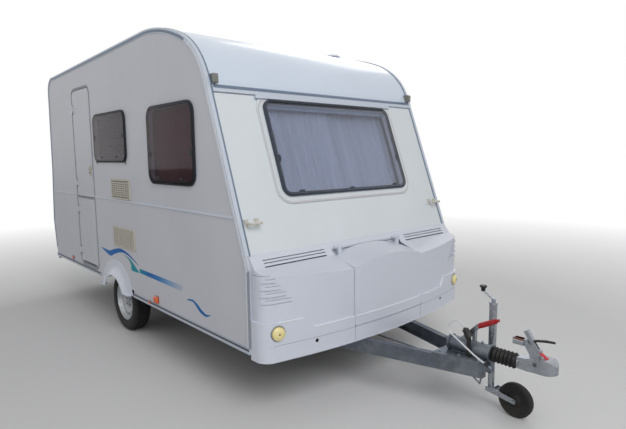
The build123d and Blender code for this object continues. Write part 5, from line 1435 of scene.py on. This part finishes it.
class BuildVentFittings(CaravanPiece, bpy.types.Operator):
    """Dark plates of painted shade, bars and screws of the two wall vents, and the flaps' locks on the other side"""
    bl_idname = "caravan.vent_fittings"
    bl_label = "Vent Fittings"

    def make(self, context):
        place, rim = on_side(RIGHT), 0.0158
        for name, x0, x1, z0, z1 in VENTS:
            v0, v1 = z0 + rim, z1 - rim
            # A dark plate behind the slats: painted shade of the vent's inside
            mesh = rounded(x0 + rim, x1 - rim, v0, v1, 0.004, 3)
            solid(f"vent_shade_plate_{name}", "vent_shadow", (add_plate, place, mesh, 0.0026, 0.0034, 0.0003))
            bars = [x0 + k * (x1 - x0) / 8 for k in (1, 3, 5, 7)]
            solid(f"vent_bars_{name}", "vent_beige", *(
                (add_plate, place, rounded(x - 0.0022, x + 0.0022, v0 - 0.0005, v1 + 0.0005, 0.0004, 2), 0.003, 0.0108,
                 0.0006) for x in bars), slot="vent_beige")
            starts = [(x, -1.3, z) for x in (x0 + 0.009, x1 - 0.009) for z in (z0 + 0.009, z1 - 0.009)]
            screws(f"vent_screws_{name}", "fridge_vents", starts, LEFTWARD, 0.0034, 0.0018, "screw_beige",
                   slot="vent_beige")
        barrel = [(0, -0.001), (0.0105, -0.001), (0.0105, 0.0018), (0.009, 0.003), (0.005, 0.003),
                  (0.0045, 0.0018), (0, 0.0018)]
        for name, x0, x1, z0, z1 in FLAPS:
            starts = [(x, 1.3, z) for x in (x0 + 0.006, x1 - 0.006) for z in (z0 + 0.02, z1 - 0.02)]
            screws(f"flap_screws_{name}", "service_flaps", starts, RIGHTWARD, 0.0032, 0.0018, "screw_beige")
            lock, _ = seat("service_flaps", ((x0 + x1) / 2, 1.3, z0 + 0.03), RIGHTWARD)
            solid(f"flap_lock_{name}", "seal_black", (add_turned, barrel, lock, LEFTWARD, 24), angle=30)


# Side lamps as name, x, z, length, height, depth of the wall, rise, ribs, finish, slot
SIDE_LAMPS = (
    ("side_marker", 0.05, 0.487, 0.066, 0.056, 0.0, 0.018, 5, "marker_orange", "lamp_amber"),
    ("side_reflector", -0.075, 0.4395, 0.044, 0.022, 0.0078, 0.005, 0, "marker_orange", "lamp_amber"),
    ("rear_reflector", -2.087, 0.524, 0.062, 0.038, 0.0, 0.006, 0, "reflector_red", "lamp_red"),
)
# Fields of a rear lamp as name, inner and outer y, ribs, finish, slot
REAR_FIELDS = (("amber", 0.905, 0.952, 4, "marker_orange", "lamp_amber"),
               ("stop", 0.822, 0.902, 7, "lamp_red", "lamp_red"), ("clear", 0.768, 0.819, 4, "lens_white", None))
LAMP_TURN = radians(12.5)


class BuildLampFittings(CaravanPiece, bpy.types.Operator):
    """Side markers, reflectors, and the rings, screws and lenses of the lamps"""
    bl_idname = "caravan.lamp_fittings"
    bl_label = "Lamp Fittings"

    def make(self, context):
        for side, word in SIDES:
            place = on_side(side)
            for name, u, v, long, tall, depth, rise, ribs, lens, slot in SIDE_LAMPS:
                solid(f"{name}_base_{word}", "seal_black", (
                    add_plate, place, around(u, v, long, tall, 0.004), depth - 0.0004, depth + 0.003, 0.0008))
                a, b = long / 2 - 0.0025, tall / 2 - 0.0025
                solid(f"{name}_lens_{word}", lens, (
                    add_lens, place, u - a, u + a, v - b, v + b, depth + 0.003, rise, ribs), slot=slot)
            out = Vector((cos(LAMP_TURN), side * sin(LAMP_TURN), 0))
            centre = Vector((1.513, side * 0.95, 0.561))
            tip, _ = seat("front_lamps", centre + out * 0.3, -out)
            fixings(f"front_lamp_screw_{word}", "screw", [(tip, out)], 0.0062, 0.0026, "lamp_screw")
            rings = [circle(centre + out * d, out, radius, sides) for d, radius, sides in (
                (0.0036, 0.0395, 48), (0.0078, 0.03, 40), (0.012, 0.016, 32))]
            beads(f"front_lamp_rings_{word}", rings, 0.0011, "lamp_amber", sides=6, slot="lamp_amber")
            beads(f"front_lamp_seal_{word}", [circle(centre - out * 0.0105, out, 0.046, 48)], 0.0036, "frame_grey")
            screws(f"marker_screws_{word}", "marker_lamps", [(1.3, side * 0.9985, z) for z in (2.106, 2.143)], BACK,
                   0.003, 0.0016)
            self.rear_lamp(side, word)

    def rear_lamp(self, side, word):
        """Lens fields of one rear lamp: an amber one outwards, red ones and a clear one."""
        face, _ = seat("rear_lamps", (-3.2, side * 0.86, 0.621), FORWARD)

        def place(u, v, d):
            return Vector((face.x - d, side * u, v))

        for name, u0, u1, ribs, lens, slot in REAR_FIELDS:
            solid(f"rear_lens_{name}_{word}", lens, (
                add_lens, place, u0, u1, 0.57, 0.672, 0.0, 0.004, ribs, 0.005), slot=slot)
        spots = [(place(u, v, 0.0038), Vector(BACK)) for u, v in ((0.8205, 0.58), (0.9035, 0.662))]
        fixings(f"rear_lamp_screws_{word}", "screw", spots, 0.003, 0.002)


# The locker ahead of the front wall
LOCKER_FAR, LID_HALF = 3, 0.355
# The fins' rise from the knee and where they start
FINS = ((-0.06, 0.948), (-0.105, 0.916), (-0.147, 0.884), (-0.189, 0.844))
HOLE_Y, HOLE_Z = 0.676, 0.462
SLOT_EDGE = [(0.372, 0.5565), (0.52, 0.5565), (0.688, 0.5565), (0.7485, 0.6265), (0.86, 0.6265), (0.955, 0.6265)]
# The bowed face's foremost x and its radius in plan
BOW_X, BOW_RADIUS = 1.605, 4.439


def bow_x(y):
    """How far forward the locker's bowed face reaches at y."""
    return BOW_X - (BOW_RADIUS - sqrt(BOW_RADIUS ** 2 - y * y))


def from_ahead(route, lift, node="locker_shell"):
    """A route of y, z laid on the locker from ahead."""
    return on_skin(node, [(LOCKER_FAR, y, z) for y, z in route], BACK, lift)


def level(y0, y1, z, steps):
    """A level route of y, z."""
    return [(y, z) for y in evenly(y0, y1, steps)]


def slope_filler(side):
    """A wedge that closes the corner of the locker's strip slot."""
    rings = []
    for y in (0.69, 0.705, 0.72, 0.735, 0.7495):
        top = 0.5605 + (y - 0.69) / 0.0595 * 0.0692
        rings.append([Vector((bow_x(y) - back, side * y, z)) for back, z in (
            (0.013, 0.5585), (0.013, top), (0.0015, top), (0.0004, 0.559 + (y - 0.69) * 1.1), (0.0004, 0.5585))])
    return add_rings, rings


class BuildLockerFittings(CaravanPiece, bpy.types.Operator):
    """Seams, painted shadow lines, ledge beads with a painted highlight, fillers and hole grommets of the front locker
    """
    bl_idname = "caravan.locker_fittings"
    bl_label = "Locker Fittings"

    def make(self, context):
        seams("locker_seams", [from_ahead(level(-1.0, 1.0, 0.4845, 64), 0.0002)] + [
            from_ahead([(y, z) for z in evenly(0.482, 0.388, 8)], 0.0002) for y in (-0.363, 0.363)], 0.0012)
        seams("fin_shadows", [from_ahead(level(side * inner, side * 1.008, KNEE_Z + rise + 0.011, 8), 0.0004)
                              for rise, inner in FINS for side in BOTH], 0.0017)
        lines = []
        for side in BOTH:
            outs = [Vector((sin(t), side * cos(t), 0)) for t in map(radians, evenly(-6, 78, 12))]
            lines.append([on_skin("locker_shell", [Vector((1.385, side * 0.96, 0.916)) + out * 0.4], -out, 0.0002)[0]
                          for out in outs])
        seams("locker_corner_seams", lines, 0.0016)
        for side, word in SIDES:
            hole, out = seat("locker_shell", (LOCKER_FAR, side * (HOLE_Y + 0.0145), HOLE_Z), BACK)
            ring = circle(Vector((hole.x - 0.0005, side * HOLE_Y, HOLE_Z)), out, 0.0122, 24)
            beads(f"locker_grommet_{word}", [ring], 0.0026, "seal_black")
            plug = [(0, -0.012), (0.0118, -0.012), (0.0118, -0.006), (0, -0.0058)]
            solid(f"locker_plug_{word}", "seal_black", (
                add_turned, plug, Vector((hole.x, side * HOLE_Y, HOLE_Z)), out, 24))
        seams("locker_lip", [from_ahead(level(-0.93, 0.93, 0.3868, 48), 0.0004)], 0.0028, "moulding_white", 8,
              slot="moulding_white")
        crown = [[Vector((x, y, 0.9815 - y * y / (2 * 1.294) + rise)) for x, rise in (
            (1.35, -0.006), (1.35, 0.0), (1.362, 0.0014), (1.3675, 0.0004), (1.3685, -0.006))]
            for y in evenly(-0.35, 0.35, 24)]
        solid("locker_fillers", "moulding_white", (add_rings, crown), slope_filler(RIGHT), slope_filler(LEFT),
              slot="moulding_white", angle=40)
        # Beads along the slot's edge and the lid's edge: real lips, brighter than the moulding as a painted highlight
        route = [shift(a, b, i / 6) for a, b in zip(SLOT_EDGE, SLOT_EDGE[1:]) for i in range(6)] + SLOT_EDGE[-1:]
        edges, shadows = [], []
        for side in BOTH:
            edges.append(from_ahead([(side * y, z) for y, z in route], 0.0002))
            for z, (_, inner) in zip((0.885, 0.84, 0.798, 0.756), FINS):
                shadows.append(from_ahead(level(side * inner, side * 1.012, z - 0.0125, 6), 0.0002))
        seams("locker_edges", edges, 0.0034, "edge_white", 8, slot="moulding_white")
        seams("locker_fin_shadows", shadows, 0.002)
        seams("locker_lid_edge", [from_ahead(level(-LID_HALF, LID_HALF, 0.5565, 24), 0.0002, "locker_lid")], 0.0034,
              "edge_white", 8, slot="moulding_white", body="lid")
        rise = evenly(0.5, 0.92, 30)
        sides = [[Vector((p.x, side * 0.3632, p.z)) for p in from_ahead([(side * 0.371, z) for z in rise], -0.0014)]
                 for side in BOTH]
        foot = [Vector((p.x, p.y, 0.4889)) for p in from_ahead(level(-LID_HALF, LID_HALF, 0.48, 24), -0.0014)]
        seams("locker_opening_seams", sides + [foot], 0.0019, "moulding_white", 8)
        seams("lid_lip", [from_ahead(level(-0.35, 0.35, 0.4955, 24), 0.0002, "locker_lid")], 0.0018,
              "moulding_white", 8, slot="moulding_white", body="lid")


class BuildCouplingFittings(CaravanPiece, bpy.types.Operator):
    """Bolts, grip, cap, windows and clamp of the coupling head and the overrun housing"""
    bl_idname = "caravan.coupling_fittings"
    bl_label = "Coupling Fittings"

    def make(self, context):
        spots = [seat("coupling_head", (x, side * 0.5, 0.43), (0, -side, 0)) for side in BOTH
                 for x in (2.56, 2.61)]
        bolts("coupling_bolts", spots, 0.0085, 0.0075)
        starts = [(x, s * y, 1.0) for x, y in ((2.075, 0.1), (2.2, 0.082), (2.325, 0.068)) for s in (1, -1)]
        bolts("overrun_bolts", seats("overrun_housing", starts, DOWN), 0.009, 0.008)
        nipple = [(0, -0.002), (0.0042, -0.002), (0.0042, 0.004), (0.0055, 0.005), (0.0052, 0.009), (0.003, 0.0105),
                  (0, 0.0105)]
        tops = seats("overrun_housing", [(x, 0, 1.0) for x in (2.18, 2.31)], DOWN)
        solid("grease_nipples", "screw_steel", *((add_turned, nipple, top, UP, 12) for top, _ in tops))
        start, end = Vector((2.655, -0.014, 0.5195)), Vector((2.716, -0.014, 0.4805))
        along = (end - start).normalized()
        up = Vector(LEFTWARD).cross(along) * -1
        flat = rounded(-0.014, 0.014, -0.003, 0.003, 0.0025, 3)
        solid("coupling_red_strip", "strap_red", (add_rings, [
            [start + along * t + Vector((0, a + 0.014, 0)) + up * b for a, b in flat]
            for t in (0.0, 0.018, 0.036, (end - start).length)]))
        grip = [(2.604, 0, 0.566), (2.641, 0, 0.58), (2.69, 0, 0.59), (2.738, 0, 0.594)]
        solid("coupling_grip", "plug_black", (add_tube, grip, [0.007, 0.0074, 0.0078, 0.0064], 14))
        block = rounded(-0.024, 0.024, 0.536, 0.566, 0.007)
        solid("coupling_block", "zinc_steel", (add_rings, [[Vector((x, a, b)) for a, b in block]
                                                           for x in (2.51, 2.572)]), slot="zinc_steel")
        solid("coupling_cap", "cap_rust", (add_plate, lambda u, v, d: Vector((u, v, 0.565 + d)),
                                           rounded(2.512, 2.57, -0.021, 0.021, 0.006), 0.0, 0.008, 0.002))

        def window(side):
            skin, _ = seat("coupling_head", (2.652, side * 0.5, 0.452), (0, -side, 0))
            return (add_plate, lambda u, v, d: Vector((u, skin.y + side * d, v)),
                    rounded(2.634, 2.672, 0.441, 0.462, 0.009), -0.0006, 0.0014, 0.0005)

        solid("coupling_windows", "seam_dark", window(RIGHT), window(LEFT))
        grooves = [circle((x, 0, DRAW_Z), FORWARD, 0.035, 32) for x in (2.5425, 2.5475)]
        beads("bellows_clamp", grooves, 0.0016, "screw_steel", sides=6)


def beam_y(x):
    """Half the drawbar's outer width at x, less the middle of its flange."""
    return 0.072 + 0.28 * (2.352 - x) - 0.02


class BuildDrawbarFittings(CaravanPiece, bpy.types.Operator):
    """Bolts, crank knob, tube collar, brake grip rings and button on the drawbar"""
    bl_idname = "caravan.drawbar_fittings"
    bl_label = "Drawbar Fittings"

    def make(self, context):
        knob = [(0, 0), (0.01, 0), (0.0136, 0.003), (0.0138, 0.018), (0.0165, 0.023), (0.0225, 0.028),
                (0.0232, 0.034), (0.02, 0.039), (0.008, 0.041), (0, 0.0412)]
        solid("crank_knob", "plug_black", (add_turned, knob, (2.218, 0.158, 0.752), UP, 24), slot="plug_black")
        rings = [circle((2.29, 0.158, z), UP, 0.0246, 32) for z in (0.69, 0.684)]
        beads("jockey_tube_collar", rings, 0.0022, "zinc_steel", slot="zinc_steel")
        spots = seats("jockey_clamp", [(x, 0.4, 0.34) for x in (2.262, 2.318)], RIGHTWARD)
        bolts("jockey_clamp_bolts", spots, 0.0075, 0.0065)
        spots = [seat("jockey_fork", JOCKEY_HUB + Vector((0, s * 0.2, 0)), (0, -s, 0)) for s in (-1, 1)]
        bolts("jockey_wheel_nuts", spots, 0.0085, 0.006, body="jockey_leg")
        grip = (BRAKE_TIP - BRAKE_PIVOT).normalized()
        rings = [circle(BRAKE_PIVOT + grip * (0.016 + 0.0085 * i), grip, 0.016, 28) for i in range(10)]
        beads("brake_grip_rings", rings, 0.0012, "grip_red", sides=6, slot="grip_red")
        button = [(0, -0.002), (0.0078, -0.002), (0.0078, 0.006), (0.0062, 0.0095), (0, 0.0105)]
        solid("brake_button", "seal_black", (add_turned, button, BRAKE_TIP, grip, 20))
        starts = [(x, side * beam_y(x), 1.0) for x in (1.42, 1.95, 2.28) for side in BOTH]
        bolts("beam_bolts", seats("drawbar_beams", starts, DOWN), 0.0095, 0.0085, "galvanised_steel")


class BuildUndersideFittings(CaravanPiece, bpy.types.Operator):
    """Bolts of the chassis, axle and steadies, the steadies' pin heads and the floor's rivets"""
    bl_idname = "caravan.underside_fittings"
    bl_label = "Underside Fittings"

    def make(self, context):
        for name, node, xs, radius, height in (("axle_bolts", "axle", (-0.705, -0.615), 0.01, 0.009),
                                               ("chassis_bolts", "chassis_frame", (-2.375, -1.475, 0.585, 1.125),
                                                0.009, 0.008)):
            starts = [(x, side * 0.6, 0.1) for x in xs for side in BOTH]
            bolts(name, seats(node, starts, UP), radius, height, "galvanised_steel")
        pin_head = [(0, -0.001), (0.0095, -0.001), (0.0095, 0.005), (0.008, 0.0065), (0, 0.0068)]
        for end, x, way in (("front", 0.74, 1), ("rear", -2.18, -1)):
            for side, word in SIDES:
                corner, y = f"{end}_{word}", side * STEADY_Y
                starts = [(x + way * 0.5, y + dy, 0.4) for dy in (-0.032, 0.032)]
                spots = seats(f"steady_leg_{corner}", starts, (-way, 0, 0))
                bolts(f"steady_foot_bolts_{corner}", spots, 0.006, 0.005, "galvanised_steel", f"steady_{corner}")
                heads = [(s, seat("steady_brackets", (x, y + s * 0.2, 0.428), (0, -s, 0))[0]) for s in (-1, 1)]
                solid(f"steady_pin_heads_{corner}", "bolt_zinc", *(
                    (add_turned, pin_head, place, (0, s, 0), 6) for s, place in heads), slot="galvanised_steel")
        starts = [(x, y, 0.1) for x in (-2.2, -1.2, 0.2, 0.9) for y in (-0.35, 0.0, 0.35)]
        fixings("floor_screws", "rivet", seats("floor_panel", starts, UP), 0.0065, 0.003)


class BuildRoofFittings(CaravanPiece, bpy.types.Operator):
    """Sealant and screws of the rooflight and the round roof vent"""
    bl_idname = "caravan.roof_fittings"
    bl_label = "Roof Fittings"

    def make(self, context):
        over, half, reach = 3.0, 0.217, 0.2065
        outline = rounded(ROOFLIGHT_X - half, ROOFLIGHT_X + half, -half, half, 0.052)
        beads("roof_sealant", [on_skin("roof_panel", starts, DOWN, 0.001) for starts in (
            [(u, v, over) for u, v in outline], circle((*ROOF_VENT, over), UP, 0.0715, 40))], 0.0038, "seam_grey")
        screws("rooflight_screws", "rooflight", [(ROOFLIGHT_X + reach * a, reach * b, over) for a, b in (
            (-1, -0.6), (-1, 0), (-1, 0.6), (1, -0.6), (1, 0), (1, 0.6), (-0.6, -1), (0, -1), (0.6, -1),
            (-0.6, 1), (0, 1), (0.6, 1))], DOWN, 0.0042, 0.0022)
        x, y = ROOF_VENT
        screws("roof_vent_screws", "roof_vent", [(x + 0.06 * cos(t), y + 0.06 * sin(t), over) for t in (
            radians(45 + 90 * i) for i in range(4))], DOWN, 0.004, 0.002)


class BuildHandleFittings(CaravanPiece, bpy.types.Operator):
    """Screws of the grab handles and bumper, the spats' rivets and the bumper's line"""
    bl_idname = "caravan.handle_fittings"
    bl_label = "Handle Fittings"

    def make(self, context):
        spots = [seat("grab_handles", (x, side * y, 1.214), (way, 0, 0)) for side in BOTH
                 for y in (0.915, 0.995) for x, way in ((2.0, -1), (-3.2, 1))]
        fixings("grab_handle_screws", "screw", spots, 0.004, 0.002, "screw_beige", slot="handle_beige")
        starts = [(-3.2, y, 0.455) for y in (-0.95, -0.55, -0.18, 0.18, 0.55, 0.95)]
        screws("bumper_screws", "rear_bumper", starts, FORWARD, 0.005, 0.0026)
        line = on_skin("rear_bumper", [(-3.2, y, 0.5) for y in evenly(-1.0, 1.0, 24)], FORWARD, 0.0002)
        seams("bumper_line", [line], 0.0018)
        spots = [seat("wheel_spats", (AXLE_X + 0.3745 * cos(t), side * 1.4, 0.304 + 0.3745 * sin(t)),
                      (0, -side, 0)) for side in BOTH for t in map(radians, (28, 62, 90, 118, 152))]
        fixings("spat_screws", "rivet", spots, 0.0046, 0.0022, "moulding_white", slot="moulding_white")


PIECES = [BuildStage, BuildLead, ApplyFinishes, BuildTyres, BuildWheelFittings, BuildWindowFittings, BuildCurtains,
          BuildKitchenBlind, BuildStripes, BuildTrimLines, BuildDoorFittings, BuildVentFittings, BuildLampFittings,
          BuildLockerFittings, BuildCouplingFittings, BuildDrawbarFittings, BuildUndersideFittings, BuildRoofFittings,
          BuildHandleFittings]


# Add-on registration
SETTINGS = {
    "caravan_stage": StageSettings,
    "caravan_lead": LeadSettings,
    "caravan_tyres": TyreSettings,
    "caravan_curtains": CurtainSettings,
    "caravan_trim": TrimSettings,
}


class CaravanPanel(bpy.types.Panel):
    """Lists the caravan's settings and its pieces in the order they are made"""
    bl_idname = "VIEW3D_PT_caravan"
    bl_label = "Caravan"
    bl_space_type = "VIEW_3D"
    bl_region_type = "UI"
    bl_category = "Caravan"

    def draw(self, context):
        for name, group in SETTINGS.items():
            box = self.layout.box()
            for setting in group.__annotations__:
                box.prop(getattr(context.scene, name), setting)
        column = self.layout.column(align=True)
        for operator in PIECES:
            column.operator(operator.bl_idname)


CLASSES = [*SETTINGS.values(), *PIECES, CaravanPanel]


def register():
    """Add the settings, the operators and the panel."""
    for kind in CLASSES:
        bpy.utils.register_class(kind)
    for name, group in SETTINGS.items():
        setattr(bpy.types.Scene, name, PointerProperty(type=group))


def unregister():
    """Take them away again."""
    for name in SETTINGS:
        delattr(bpy.types.Scene, name)
    for kind in reversed(CLASSES):
        bpy.utils.unregister_class(kind)


def main():
    """Make every piece in order."""
    register()
    for operator in PIECES:
        group, name = operator.bl_idname.split(".")
        getattr(getattr(bpy.ops, group), name)()


if __name__ == "__main__":
    main()
